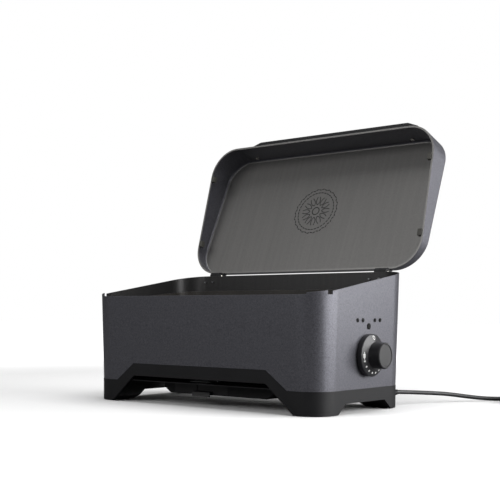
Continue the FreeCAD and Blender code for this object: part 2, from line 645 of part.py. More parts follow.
def make_element():
    """Sheathed heater bent into four legs, with both ends turned down through the pan."""
    z, pitch = num(ELEMENT_Z), num("{leg_pitch}")
    end, turn = num("{leg_reach}"), num("{leg_return}")
    drop, bend = z - num("{terminal_drop}"), num("{leg_bend}")
    edges = []
    legs = [-1.5 * pitch, -0.5 * pitch, 0.5 * pitch, 1.5 * pitch]
    rows = [(end, -end, legs[0]), (-end, turn, legs[1]), (turn, -end, legs[2]), (-end, end, legs[3])]

    def elbow(y, first):
        low, side = V(end + bend, y, z - bend), V(end, y, z)
        s = math.sqrt(0.5) * bend
        arc = Part.Arc(low, V(end + s, y, z - bend + s), side)
        drop_line = Part.LineSegment(V(end + bend, y, drop), low)
        return [drop_line, arc] if first else [Part.Arc(side, V(end + s, y, z - bend + s), low),
                                               Part.LineSegment(low, V(end + bend, y, drop))]
    edges += elbow(legs[0], True)
    for (x0, x1, y), after in zip(rows, legs[1:] + [None]):
        edges.append(Part.LineSegment(V(x0, y, z), V(x1, y, z)))
        if after is not None:
            bulge = math.copysign(pitch / 2, x1 - x0)
            edges.append(Part.Arc(V(x1, y, z), V(x1 + bulge, y + pitch / 2, z), V(x1, after, z)))
    edges += elbow(legs[3], False)
    path = Part.Wire([e.toShape() for e in edges])
    ring = Part.Wire([Part.makeCircle(num("{element_radius}"), V(end + bend, legs[0], drop))])
    plain("heating_element", path.makePipeShell([ring], True, True))


def make_element_clips():
    clips = []
    for side in (-1, 1):
        for row in (-1, 1):
            x, y = "%d*{clip_x}" % side, "%d*1.5*{leg_pitch}" % row
            name = "element_clip_%s_%s" % ("right" if side > 0 else "left",
                                           "rear" if row > 0 else "front")
            long, wide = "{clip_long}/2", "{clip_wide}/2"
            saddle = block(name + "_saddle", "%s-%s" % (x, long), "%s+%s" % (x, long),
                           "%s-%s" % (y, wide), "%s+%s" % (y, wide), PAN_Z + "+{pan_thick}",
                           ELEMENT_Z + "+{element_radius}+1.2")
            bore = rod(name + "_bore", x + "-{clip_long}", y, ELEMENT_Z, "{element_radius}+0.05",
                       "2*{clip_long}", "X")
            clips.append(joined("Cut", name, (saddle, bore)))
    group("element_clips", clips)


def make_drain_chute():
    """Sloping duct from under the plate's spout down into the drip drawer."""
    body = new_body("drain_chute")
    top = "{plate_bottom}-3"
    low, floor = "{drawer_top}+1", "{seam_height}+{floor_thick}"

    def ring(grow, end, side, cy, z):
        half_long = "({drain_long}/2+%s+%s)" % (end, grow)
        half_wide = "({drain_wide}/2+%s+%s)" % (side, grow)
        return rectangle(body, "XY", "{drain_x}-" + half_long, "{drain_x}+" + half_long,
                         cy + "-" + half_wide, cy + "+" + half_wide, z)
    foot, mouth = ("{chute_foot_trim}", "{chute_foot_side}"), ("{chute_top_end}", "{chute_top_side}")
    loft(body, ring("{chute_wall}", *foot, CHUTE_FOOT, low),
         ring("{chute_wall}", *mouth, "{drain_y}", top))
    # flange that stands on the bottom plate round its hole
    flange = ring("{chute_wall}", "{chute_flange_end}", "{chute_flange_side}", CHUTE_FOOT, floor)
    pad(body, flange, "{chute_wall}")
    hollow = body.newObject("PartDesign::SubtractiveLoft", "Hollow")
    hollow.Profile = ring("0", *foot, CHUTE_FOOT, low)
    hollow.Sections = [ring("0", *mouth, "{drain_y}", top)]
    hollow.Ruled = True
    doc.recompute()
    return body


# ---------------------------------------------------------------- controls
DIAL_WALL = half_x("{dial_height}")


def make_controls():
    wall_in = DIAL_WALL + "-{shell_wall}"
    back = wall_in + "-{mount_reach}"
    # bracket with two spacers, thermostat behind it
    y0, y1 = "{dial_y}-{mount_half_y}", "{dial_y}+{mount_half_y}"
    z0, z1 = "{dial_height}-{mount_half_z}", "{dial_height}+{mount_half_z}"
    bracket = block("bracket_sheet", back, back + "+{mount_thick}", y0, y1, z0, z1)
    rows = (("upper", "+{dial_screw_z}"), ("lower", "-{dial_screw_z}"))
    posts = []
    for name, shift in rows:
        reach = half_x("{dial_height}%s-{post_radius}" % shift) + "-{shell_wall}-(%s+1)" % back
        posts.append(rod("bracket_post_" + name, back + "+1", "{dial_y}", "{dial_height}" + shift,
                         "{post_radius}", reach, "X"))
    solid = joined("MultiFuse", "bracket_solid", [bracket] + posts)
    bores = [rod("bracket_bore", back + "-5", "{dial_y}", "{dial_height}",
                 "{neck_radius}+0.1", "30", "X")]
    bores += [rod("bracket_tap_" + name, back + "-5", "{dial_y}", "{dial_height}" + shift,
                  "{dial_screw_radius}", "30", "X") for name, shift in rows]
    tools = joined("MultiFuse", "bracket_bores", bores)
    keep(joined("Cut", "thermostat_bracket", (solid, tools)), "thermostat_bracket")
    screws = []
    for name, shift in rows:
        head = rod("dial_screw_head_" + name, DIAL_WALL + "+0.7", "{dial_y}",
                   "{dial_height}" + shift, "2.8", "1.6", "X")
        shank = rod("dial_screw_shank_" + name, back + "+2", "{dial_y}", "{dial_height}" + shift,
                    "{dial_screw_radius}", "13.5", "X")
        screws.append(joined("MultiFuse", "dial_screw_" + name, [head, shank]))
    group("thermostat_screws", screws)
    case = block("thermostat_case", back + "-{case_deep}", back, y0, y1, z0 + "+4", z1 + "-4")
    neck = rod("thermostat_neck", back + "-1", "{dial_y}", "{dial_height}",
               "{neck_radius}", "11", "X")
    whole = joined("MultiFuse", "thermostat_solid", [case, neck])
    hole = rod("thermostat_hole", back + "-16", "{dial_y}", "{dial_height}",
               "{shaft_radius}+0.05", "40", "X")
    keep(joined("Cut", "thermostat", (whole, hole)), "thermostat")
    # turning parts: shaft, marked skirt and knob
    keep(rod("thermostat_shaft", back + "-15", "{dial_y}", "{dial_height}", "{shaft_radius}",
             "15+{mount_reach}+{shell_wall}+{skirt_side}+{cone_rise}+8", "X"), "thermostat_shaft")
    base = DIAL_WALL + "+1.35+{dial_clear}"
    reach = "{skirt_radius}"
    body = new_body("dial_skirt")
    face = polygon(body, "XZ", [
        ("0", "{shaft_radius}+0.02"), ("{skirt_side}+{cone_rise}", "{shaft_radius}+0.02"),
        ("{skirt_side}+{cone_rise}", "{knob_radius}"), ("{skirt_side}", reach + "-1"),
        ("{skirt_side}-1", reach), ("0", reach), ("0", reach + "-{skirt_shell}"),
        ("{skirt_side}-{skirt_floor}", reach + "-{skirt_shell}"),
        ("{skirt_side}-{skirt_floor}", "{hub_radius}"), ("0", "{hub_radius}")])
    revolve(body, face, "H_Axis")
    place(body, base, "{dial_y}", "{dial_height}")
    body = new_body("dial_knob")
    knob = polygon(body, "XZ", [
        ("0", "{shaft_radius}+0.02"), ("{knob_bore}", "{shaft_radius}+0.02"), ("{knob_bore}", "0"),
        ("{knob_length}-1", "0"), ("{knob_length}-1", "{knob_radius}-{knob_rim}"),
        ("{knob_length}", "{knob_radius}-3"),
        ("{knob_length}", "{knob_radius}-1.5"), ("{knob_length}-1.5", "{knob_radius}"),
        ("0", "{knob_radius}")])
    revolve(body, knob, "H_Axis")
    place(body, base + "+{skirt_side}+{cone_rise}", "{dial_y}", "{dial_height}")


def make_lamps():
    names = ["status_lens_1", "status_lens_2", "status_lens_3", "status_lens_4", "power_lens"]
    leds = []
    board_x = half_x("{lamp_power}") + "-{board_drop}"
    half = "{led_size}/2"
    for name, (y, z, radius) in zip(names, lamp_spots()):
        wall = half_x(z)
        lens = rod(name + "_dome", wall + "+0.15", y, z, radius + "+{lens_lip}", "{lens_thick}", "X")
        stem = rod(name + "_stem", wall + "-{lens_stem}", y, z, radius + "-{lens_step}",
                   "{lens_stem}+0.3", "X")
        keep(joined("MultiFuse", name, [lens, stem]), name)
        leds.append(block(name + "_led", board_x, wall + "-{lens_stem}", "%s-%s" % (y, half),
                          "%s+%s" % (y, half), "%s-%s" % (z, half), "%s+%s" % (z, half)))
    group("indicator_leds", leds)
    keep(block("indicator_board", board_x + "-{board_thick}", board_x, "{dial_y}-{lamp_far}-5",
               "{dial_y}+{lamp_far}+5", "{lamp_power}-6", "{lamp_row}+6"), "indicator_board")


# ---------------------------------------------------------------- drip drawer
def make_sump():
    """Fixed trough under the bottom plate, open at the front for the drawer."""
    body = new_body("drawer_housing")
    left, right, low, top = "{sump_left}", "{sump_right}", "{sump_bottom}", "{seam_height}"
    bx, bz = "{sump_bevel_x}", "{sump_bevel_z}"
    outer = [(left, top), (left, low + "+" + bz), (left + "+" + bx, low), (right + "-" + bx, low),
             (right, low + "+" + bz), (right, top)]
    pad(body, polygon(body, "XZ", outer, "-{sump_back}"), "{sump_back}-({sump_front})")
    wall = "{sump_wall}"
    inner = [(left + "+" + wall, top + "+1"), (left + "+" + wall, low + "+%s+1" % bz),
             (left + "+%s+1" % bx, low + "+" + wall), (right + "-%s-1" % bx, low + "+" + wall),
             (right + "-" + wall, low + "+%s+1" % bz), (right + "-" + wall, top + "+1")]
    hollow = polygon(body, "XZ", inner, "-{sump_back}+" + wall)
    pocket(body, hollow, "{sump_back}-({sump_front})-2*" + wall, back=True)
    gap = "{fit_gap}"
    mouth = rectangle(body, "XZ", "{drawer_left}-" + gap, "{drawer_right}+" + gap,
                      low + "+" + wall, "{drawer_top}+" + gap, "-({sump_front})+5")
    pocket(body, mouth, "20")
    return body


def make_drawer():
    body = new_body("drip_drawer")
    left, right = "{drawer_left}", "{drawer_right}"
    low = "{sump_bottom}+{sump_wall}+{fit_gap}"
    front, wall = "{sump_front}", "{drawer_wall}"
    pad(body, rectangle(body, "XY", left, right, front, front + "+{drawer_length}", low),
        "{drawer_top}-(%s)" % low)
    well = rectangle(body, "XY", left + "+" + wall, right + "-" + wall, front + "+{drawer_front}",
                     front + "+{drawer_length}-" + wall, low + "+" + wall)
    pocket(body, well, "40", back=True)
    # shallow panels either side of the finger recess
    recess = rectangle(body, "XZ", "{grip_left}+4", "{grip_right}-1", low + "+4",
                       "{drawer_top}+1", "-(%s)+{recess_deep}" % front)
    pocket(body, recess, "2*{recess_deep}")
    return body


def make_grip():
    """Scoop below the drawer's finger recess, which hangs just under the trough."""
    body = new_body("drawer_grip")
    front, low = "{sump_front}", "{sump_bottom}"
    side = polygon(body, "YZ", [
        (front, low + "+6.4"), (front + "-7", low + "+5"), (front + "-9", low + "-2.4"),
        (front + "-7", low + "-2.8"), (front + "-4.6", low + "+2.6"), (front, low + "+2.6")],
        "({grip_left}+{grip_right})/2")
    pad(body, side, "{grip_right}-{grip_left}", both=True)
    return body


# ---------------------------------------------------------------- lid
# The lid is drawn in its own frame: origin at the middle of its rear rim, X along the hinge,
# -Y towards the handle and +Z out through its top. Its placement turns it to the open stop.
LID_TILT = "atan(%s)" % RIM_SLOPE
CLOSED_Z = "(%s+{lid_gap}/cos(%s))" % (rim_z("{lid_rear}"), LID_TILT)
ARM_Y = "({lid_rear}-{hinge_y})"
ARM_Z = "(%s-{hinge_height})" % CLOSED_Z
OPEN_Y = "({hinge_y}+%s*cos({open_angle})+%s*sin({open_angle}))" % (ARM_Y, ARM_Z)
OPEN_Z = "({hinge_height}-%s*sin({open_angle})+%s*cos({open_angle}))" % (ARM_Y, ARM_Z)
AXIS_Y = "(-(%s)*cos(%s)-(%s)*sin(%s))" % (ARM_Y, LID_TILT, ARM_Z, LID_TILT)
AXIS_Z = "((%s)*sin(%s)-(%s)*cos(%s))" % (ARM_Y, LID_TILT, ARM_Z, LID_TILT)


def open_lid(obj):
    """Carry a piece from the lid's frame to the lid standing open."""
    angle = num(LID_TILT) - num("{open_angle}")
    obj.Placement = FreeCAD.Placement(V(0, 0, 0), FreeCAD.Rotation(V(-1, 0, 0), -angle))
    obj.setExpression("Placement.Rotation.Angle", q("{open_angle}*1deg-%s" % LID_TILT))
    obj.setExpression("Placement.Base.y", q(OPEN_Y))
    obj.setExpression("Placement.Base.z", q(OPEN_Z))
    return obj


def lid_top(y):
    """Depth of the lid's outer top at a given local y."""
    return "({lid_rear_depth}-({lid_front_depth}-{lid_rear_depth})*(%s)/{lid_length})" % y


def lid_solid(name, inset, start):
    """Wedge with rounded corners: the lid's outside, or its inside when inset by the wall."""
    body = doc.addObject("PartDesign::Body", name)
    half = "{lid_width}/2-%s" % inset
    base = rounded(body, "-(%s)" % half, half, "-{lid_length}+%s" % inset, "-" + inset,
                   "{lid_radius}-" + inset, start)
    pad(body, base, "{lid_front_depth}+10", lean="-{lid_lean}")
    near, far = "10", "-{lid_length}-10"
    over = [(far, lid_top(far) + "-" + inset), (near, lid_top(near) + "-" + inset),
            (near, "{lid_front_depth}+30"), (far, "{lid_front_depth}+30")]
    pocket(body, polygon(body, "YZ", over))
    round_edges(body, "{lid_round}-" + inset, lambda e: all(v.Point.z > 5 for v in e.Vertexes))
    return body


def make_lid():
    """Hollow wedge with a thicker hem round its mouth."""
    outside = lid_solid("lid_outside", "0", "0")
    inside = lid_solid("lid_inside", "{lid_wall}", "{hem_height}")
    half = "{lid_width}/2-{hem_width}"
    mouth = rounded(inside, "-(%s)" % half, half, "-{lid_length}+{hem_width}", "-{hem_width}",
                    "{lid_radius}-{hem_width}", "-1")
    pad(inside, mouth, "{hem_height}+1.5")
    bores = [rod("lid_bore_" + side, "%d*{handle_screw_x}" % SIGNS[side], "-{lid_length}-5",
                 "{handle_screw_z}", "{handle_screw_bore}", "20", "Y") for side in ("left", "right")]
    hollow = joined("MultiFuse", "lid_hollow", [inside] + bores)
    open_lid(keep(joined("Cut", "lid_shell", (outside, hollow)), "lid_shell"))


def lid_front(z):
    """Local y of the lid's front face at a given depth."""
    return "(-{lid_length}+{lid_lean}*(%s)-0.02)" % z


def make_handle():
    """Long bar held off the lid's front face by a foot at each end."""
    body = new_body("lid_handle")
    half, reach, bevel = "{handle_half}", "{handle_reach}", "{handle_bevel}"
    low, high = "{handle_screw_z}-{handle_deep}/2", "{handle_screw_z}+{handle_deep}/2"
    bar = "%s-%s" % (lid_front("{handle_screw_z}"), reach)
    back = "%s+{handle_bar}" % bar
    root = lid_front(low)
    foot = "({handle_screw_x}-{handle_foot}/2)"
    outline = [("-" + half, root), ("-" + foot, root), ("-%s+6" % foot, back),
               ("%s-6" % foot, back), (foot, root), (half, root),
               (half, bar + "+{handle_bar}-2"), (half + "-" + bevel, bar),
               ("-%s+%s" % (half, bevel), bar), ("-" + half, bar + "+{handle_bar}-2")]
    pad(body, polygon(body, "XY", outline, low), "{handle_deep}")
    round_edges(body, "3", lambda e: abs(e.Vertexes[0].Point.y - num(bar)) < 0.01
                and abs(e.Vertexes[-1].Point.y - num(bar)) < 0.01 and e.Length > 100)
    holes = sketch_on(body, "XZ", "-(%s)" % root)
    for side in ("-", ""):
        add_circle(holes, side + "{handle_screw_x}", "{handle_screw_z}", "{screw_shank}+0.02")
    pocket(body, holes, "12", back=True)
    open_lid(body)


def make_lid_fittings():
    screws = []
    for name, side in (("left", "-"), ("right", "")):
        x, z = side + "{handle_screw_x}", "{handle_screw_z}"
        wall = "-{lid_length}+{lid_wall}+{lid_lean}*(%s+{handle_screw_head}-{hem_height})" % z
        head = rod("handle_screw_head_" + name, x, wall + "+0.02", z, "{handle_screw_head}", "1.9", "Y")
        shank = rod("handle_screw_shank_" + name, x, wall + "-8", z, "{screw_shank}", "8.2", "Y")
        screws.append(joined("MultiFuse", "handle_screw_" + name, [head, shank]))
    open_lid(group("handle_screws", screws))
    bumpers = []
    for end in ("front", "rear"):
        for side in ("left", "right"):
            sign = SIGNS[side]
            inner = "({lid_width}/2-{hem_width}-0.02)"
            ends = [inner + "-{bumper_wide}", inner]
            low, high = ends if sign > 0 else ["-(%s)" % x for x in reversed(ends)]
            y, half = "-{bumper_%s}" % end, "{bumper_long}/2"
            bumpers.append(block("lid_bumper_%s_%s" % (end, side), low, high,
                                 "%s-%s" % (y, half), "%s+%s" % (y, half),
                                 "-{lid_gap}+{fit_gap}", "{hem_height}+3"))
    open_lid(group("lid_bumpers", bumpers))


def make_hinges():
    screws = []
    rows = "{rear_height}-{hinge_screw_drop}"

    def wall(z):
        return "(%s+0.02)" % half_y(z)

    def rear(z):
        return "(0.02-{lid_lean}*%s)" % z
    high, low, thick = "{rear_height}-{leaf_top}", "{rear_height}-{leaf_foot}", "{leaf_thick}"
    near, far = "{flap_low}", "{flap_high}"
    axis = ("{hinge_y}", "{hinge_height}")
    for side in ("left", "right"):
        middle = "%d*{hinge_x}" % SIGNS[side]
        gap = "{knuckle_gap}/2"
        leaf = new_body("hinge_bracket_" + side)
        plate = polygon(leaf, "YZ", [(wall(low), low), ("%s+%s" % (wall(low), thick), low),
                                     ("%s+%s" % (wall(high), thick), high), (wall(high), high)],
                        middle + "-{knuckle_length}/2")
        pad(leaf, plate, "{leaf_length}", both=True)
        start = middle + "-" + gap + "-{knuckle_length}"
        arm = polygon(leaf, "YZ", [(wall(low) + "+1", low + "+6"), ("{hinge_y}+3", "{hinge_height}-6"),
                                   ("{hinge_y}", "{hinge_height}"),
                                   ("{hinge_y}-6.4", "{hinge_height}-1.5"), (wall(high) + "+1", high)],
                      start)
        pad(leaf, arm, "{knuckle_length}")
        pad(leaf, disc(leaf, "YZ", *axis, "{knuckle_radius}", start), "{knuckle_length}")
        pocket(leaf, disc(leaf, "YZ", *axis, "{pin_radius}+0.01", start + "+{knuckle_length}+1"),
               "{knuckle_length}+2")
        bores = sketch_on(leaf, "XZ", "-({hinge_y}-2)")
        for shift in ("-", "+"):
            add_circle(bores, middle + "-{knuckle_length}/2%s{hinge_screw_gap}" % shift, rows,
                       "{screw_clear}")
        pocket(leaf, bores, "14", back=True)
        # lid side of the hinge, in the lid's frame
        flap = new_body("lid_hinge_" + side)
        begin = middle + "+" + gap
        strip = polygon(flap, "YZ", [(rear(near), near), (thick, near), (thick, far),
                                     (rear(far), far)], middle)
        pad(flap, strip, "{leaf_length}-2", both=True)
        tongue = polygon(flap, "YZ", [(rear(near), near), (rear(far), far), (thick, far),
                                      (AXIS_Y + "+6.6", AXIS_Z + "+2.2"), (AXIS_Y, AXIS_Z),
                                      (AXIS_Y + "-5", AXIS_Z + "+4.8")], begin)
        pad(flap, tongue, "{knuckle_length}")
        pad(flap, disc(flap, "YZ", AXIS_Y, AXIS_Z, "{knuckle_radius}", begin), "{knuckle_length}")
        pocket(flap, disc(flap, "YZ", AXIS_Y, AXIS_Z, "{bush_radius}+0.01",
                          begin + "+{knuckle_length}+1"), "{knuckle_length}+2")
        open_lid(flap)
        outer = rod("bush_outer_" + side, begin, AXIS_Y, AXIS_Z, "{bush_radius}",
                    "{knuckle_length}", "X")
        inner = rod("bush_inner_" + side, begin + "-1", AXIS_Y, AXIS_Z, "{pin_radius}+0.05",
                    "{knuckle_length}+2", "X")
        open_lid(keep(joined("Cut", "hinge_bush_" + side, (outer, inner)), "hinge_bush_" + side))
        keep(rod("hinge_pin_" + side, start + "-0.6", *axis, "{pin_radius}",
                 "2*{knuckle_length}+{knuckle_gap}+1.4", "X"), "hinge_pin_" + side)
        for shift, name in (("-", "a"), ("+", "b")):
            x = middle + "-{knuckle_length}/2%s{hinge_screw_gap}" % shift
            seat = "%s+%s+0.12" % (wall(rows), thick)
            tag = side + "_" + name
            head = rod("bracket_head_" + tag, x, seat, rows, "2.9", "1.4", "Y")
            shank = rod("bracket_shank_" + tag, x, seat + "-7", rows, "{screw_shank}", "7.2", "Y")
            screws.append(joined("MultiFuse", "bracket_screw_" + tag, [head, shank]))
    group("hinge_screws", screws)


# ---------------------------------------------------------------- wiring inside
def make_wiring():
    """Terminal block, cut-out, sensor and the leads between them."""
    floor = "{seam_height}+{floor_thick}"
    bx, by = "{block_x}", "{block_y}"
    keep(block("terminal_block", bx + "-40", bx, by + "-9", by + "+9", floor, floor + "+14"),
         "terminal_block")
    keep(rod("thermal_cutout", "{leg_return}-30", "0", PAN_Z + "-9", "8", "9", "Z"),
         "thermal_cutout")
    radius = num("{wire_radius}")
    tx, ty, tz = num(bx), num(by), num(floor)
    back = num(DIAL_WALL + "-{shell_wall}-{mount_reach}-{case_deep}")
    end_x, low_z = num("{leg_reach}+{leg_bend}"), num(ELEMENT_Z + "-{terminal_drop}")
    front, rear = num("-1.5*{leg_pitch}"), num("1.5*{leg_pitch}")
    dial_y, dial_z = num("{dial_y}"), num("{dial_height}")
    leads = {
        "neutral_lead": [(end_x, rear, low_z), (end_x, rear, low_z - 24),
                         (tx + 14, rear + 6, tz + 26), (tx + 14, ty - 5, tz + 7),
                         (tx, ty - 5, tz + 7)],
        "live_lead": [(tx - 30, ty - 9, tz + 7), (tx - 30, ty - 34, tz + 7),
                      (back - 16, dial_y + 22, dial_z - 10), (back - 16, dial_y + 8, dial_z - 10),
                      (back, dial_y + 8, dial_z - 10)],
        "element_lead": [(back, dial_y - 8, dial_z + 10), (back - 16, dial_y - 8, dial_z + 10),
                         (end_x, front + 20, low_z - 24), (end_x, front, low_z - 18),
                         (end_x, front, low_z)],
    }
    for label, route in leads.items():
        plain(label, tube(route, radius))
    # the sensor's bulb lies along the underside of the pan
    bulb_x, bulb_z = num("{leg_return}"), num(PAN_Z) - 1
    sensor = [(back, dial_y, dial_z), (back - 22, dial_y, dial_z), (bulb_x + 30, 0, bulb_z - 13),
              (bulb_x + 8, 0, bulb_z), (bulb_x - 14, 0, bulb_z)]
    plain("thermostat_sensor", tube(sensor, 1.0))


# ---------------------------------------------------------------- power cord
# The straight-lying stretch of the cord, from the strain relief to the coil.
CORD_ROUTE = [(222, 156, 21.8), (226, 182, 20.4), (246, 222, 17.8), (263, 262, 14.6),
              (281, 292, 9.6), (305, 326, 4.6), (333, 358, 3.75), (365, 382, 3.75)]


def make_cord():
    root, x, z = RELIEF_ROOT, "{relief_x}", "{relief_z}"
    cone = doc.addObject("Part::Cone", "relief_cone")
    cone.setExpression("Radius1", q("{relief_root}"))
    cone.setExpression("Radius2", q("{relief_tip}"))
    cone.setExpression("Height", q("{relief_length}"))
    place(cone, x, root, z, (1, 0, 0), "-90")
    back = RELIEF_SEAT + "-{flange_step}"
    stem = rod("relief_stem", x, back, z, "{relief_root}", "%s-(%s)" % (root, back), "Y")
    flange = rod("relief_flange", x, back, z, "{relief_flange}", "{flange_step}", "Y")
    keep(joined("MultiFuse", "strain_relief", [cone, stem, flange]), "strain_relief")
    tip = num(root) + num("{relief_length}")
    radius = num("{cord_radius}")
    route = [(num(x), tip, num(z))] + CORD_ROUTE[1:]
    plain("power_cord", tube(route, radius))
    # unseen length wound in a coil beyond the body's right rear corner
    coil = new_body("cord_coil")
    half, mean = "{coil_section}/2", "{coil_radius}"
    low, bevel = "{coil_lift}", "{coil_bevel}"
    top = low + "+{coil_section}"
    ring = polygon(coil, "XZ", [
        (mean + "-%s+%s" % (half, bevel), low), (mean + "+%s-%s" % (half, bevel), low),
        (mean + "+" + half, low + "+" + bevel), (mean + "+" + half, top + "-" + bevel),
        (mean + "+%s-%s" % (half, bevel), top), (mean + "-%s+%s" % (half, bevel), top),
        (mean + "-" + half, top + "-" + bevel), (mean + "-" + half, low + "+" + bevel)])
    revolve(coil, ring, "V_Axis")
    place(coil, "{coil_x}", "{coil_y}")
    outer = block("tie_outer", "{coil_radius}-%s-1.5" % half, "{coil_radius}+%s+1.5" % half,
                  "-{tie_wide}/2", "{tie_wide}/2", "0", top + "+{tie_thick}")
    inner = block("tie_inner", "{coil_radius}-%s-0.5" % half, "{coil_radius}+%s+0.3" % half,
                  "-{tie_wide}", "{tie_wide}", low, top)
    tie = keep(joined("Cut", "cord_tie", (outer, inner)), "cord_tie")
    place(tie, "{coil_x}", "{coil_y}", "0", (0, 0, 1), "-120")


def make_plug():
    """Moulded plug lying on the table beside the coil, with its three pins."""
    body = new_body("plug_body")
    end = "{plug_length}+{tail_length}"
    half = [("12", "0"), ("13", "24"), ("9", "34"), ("5", "{plug_length}"), ("4.6", end)]
    outline = half + [("-" + x, y) for x, y in reversed(half)]
    pad(body, polygon(body, "XY", outline), "{plug_height}")
    middle = "{plug_height}/2"
    for z0, z1 in (("-1", middle + "-4.5"), (middle + "+4.5", "{plug_height}+1")):
        pocket(body, rectangle(body, "YZ", "{plug_length}", end + "+1", z0, z1))
    round_edges(body, "2.5", lambda e: abs(e.Vertexes[0].Point.y) < 0.1
                and abs(e.Vertexes[-1].Point.y) < 0.1)
    near, far = "{blade_gap}", "({blade_gap}+{blade_thick})"
    deep = ("-{blade_long}", "0", "{blade_low}", "{blade_high}")
    pins = group("plug_pins", [
        block("plug_blade_left", "-" + far, "-" + near, *deep),
        block("plug_blade_right", near, far, *deep),
        rod("plug_earth", "0", "-{earth_long}", "4.4", "{earth_radius}", "{earth_long}", "Y")])
    # the tail's end meets the coil where the cord leaves it
    away = "({plug_length}+{tail_length}+{tail_run})"
    for piece in (body, pins):
        place(piece, "{coil_x}+{coil_radius}*cos({plug_turn})+%s*sin({plug_turn})" % away,
              "{coil_y}+{coil_radius}*sin({plug_turn})-%s*cos({plug_turn})" % away, "0",
              (0, 0, 1), "{plug_turn}")


for make in (make_base_skirt, make_foot_pads, make_housing, make_bottom_plate, make_base_screws,
             make_griddle_plate, make_plate_brackets, make_reflector_pan, make_element,
             make_element_clips, make_drain_chute, make_controls, make_lamps, make_sump, make_drawer,
             make_grip, make_lid, make_handle, make_lid_fittings, make_hinges, make_wiring,
             make_cord, make_plug):
    make()
doc.recompute()

# ---------------------------------------------------------------- checks and files
for obj in doc.Objects:
    if "Invalid" in obj.State or "Error" in obj.State:
        raise RuntimeError("%s failed: %s" % (obj.Label, obj.State))
labels = [node.Label for node in NODES]
if len(set(labels)) != len(labels):
    raise RuntimeError("two nodes share a name")
for node in NODES:
    if node.Shape.isNull() or not node.Shape.isValid() or not node.Shape.Solids:
        raise RuntimeError("bad shape: " + node.Label)
for node in NODES:
    node.Shape.exportStep("parts/%s.step" % node.Label)
    solids = len(node.Shape.Solids)
    print("%-28s %2d solid%s %9.1f mm3" % (node.Label, solids, "s" if solids > 1 else " ",
                                           node.Shape.Volume))
print(len(NODES), "nodes")
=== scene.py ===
# %% [markdown]
# # An electric griddle with a hinged lid
# The metal and plastic parts of this griddle come from a CAD model, and they are already the right size and
# in the right place. This lesson dresses them: it gives every part a material that behaves like the real
# one, and it builds the few things that are easier to make here, such as the printed marks on the dial and
# the loose cord. Everything is in metres, with +Z up and the front of the griddle towards -Y.

# %% Load the CAD model
import json
import math

import bmesh
import bpy
from mathutils import Matrix, Vector


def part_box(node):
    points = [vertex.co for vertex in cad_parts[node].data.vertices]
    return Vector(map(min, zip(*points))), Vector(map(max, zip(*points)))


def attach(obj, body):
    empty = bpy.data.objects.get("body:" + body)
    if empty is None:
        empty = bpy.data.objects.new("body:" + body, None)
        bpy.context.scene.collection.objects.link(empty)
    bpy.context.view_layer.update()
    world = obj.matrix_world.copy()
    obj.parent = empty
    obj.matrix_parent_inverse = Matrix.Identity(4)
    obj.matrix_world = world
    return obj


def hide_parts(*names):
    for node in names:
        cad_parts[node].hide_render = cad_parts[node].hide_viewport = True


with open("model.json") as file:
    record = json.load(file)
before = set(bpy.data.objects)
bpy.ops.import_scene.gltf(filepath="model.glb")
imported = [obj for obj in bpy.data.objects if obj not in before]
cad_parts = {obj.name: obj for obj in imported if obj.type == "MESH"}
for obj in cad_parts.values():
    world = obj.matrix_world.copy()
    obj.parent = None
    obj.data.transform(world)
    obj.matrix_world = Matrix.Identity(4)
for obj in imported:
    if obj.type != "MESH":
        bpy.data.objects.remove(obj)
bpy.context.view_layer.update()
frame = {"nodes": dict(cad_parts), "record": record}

MM = 0.001
nodes = frame["nodes"]

# %% [markdown]
# ## The camera
# A picture of a product is usually taken with a long lens, a little below the middle of the object, so that
# it looks solid and its edges stay nearly parallel. The camera is placed by its position and by the
# direction of its view: an azimuth round the object, a small upward pitch and a very small roll.

# %% Camera
CAMERA_PLACE = Vector((1.1342, -1.3638, 0.1597))
AZIMUTH, PITCH, ROLL = math.radians(39.44), math.radians(3.641), math.radians(0.28)
LENS_MM = 71.16

forward = Vector((-math.sin(AZIMUTH) * math.cos(PITCH), math.cos(AZIMUTH) * math.cos(PITCH), math.sin(PITCH)))
right = Vector((math.cos(AZIMUTH), math.sin(AZIMUTH), 0))
up = right.cross(forward)
tilted_right = right * math.cos(ROLL) + up * math.sin(ROLL)
tilted_up = up * math.cos(ROLL) - right * math.sin(ROLL)

camera = bpy.data.objects.new("camera", bpy.data.cameras.new("camera"))
bpy.context.scene.collection.objects.link(camera)
camera.data.lens = LENS_MM
camera.data.sensor_width = 36
turn = Matrix((tilted_right, tilted_up, -forward)).transposed()
camera.matrix_world = Matrix.Translation(CAMERA_PLACE) @ turn.to_4x4()
bpy.context.scene.camera = camera
bpy.context.scene.view_settings.view_transform = "Standard"
print("camera", [round(v, 3) for v in CAMERA_PLACE], "lens", LENS_MM)

# %% [markdown]
# ## The power cord
# The cord is one flexible lead of a fixed length. It comes out of the strain relief at the rear right
# corner, sinks to the table in a slack curve and runs off to the right. What is left over is wound in a
# neat coil, as it would be for storage, and ends in the plug. A NURBS curve with the route's points as its
# control points gives the smooth line of a real lead, and the coil's turns are more points of the same
# curve, worked out by a loop.

# %% The cord's route
CORD_DIAMETER = 7.5 * MM
CORD_ROUTE = [(0.222, 0.15457, 0.022), (0.226, 0.182, 0.0204), (0.246, 0.222, 0.0178), (0.263, 0.262, 0.0146),
              (0.281, 0.292, 0.0096), (0.305, 0.326, 0.0046), (0.333, 0.358, 0.00375),
              (0.363, 0.385, 0.00375)]

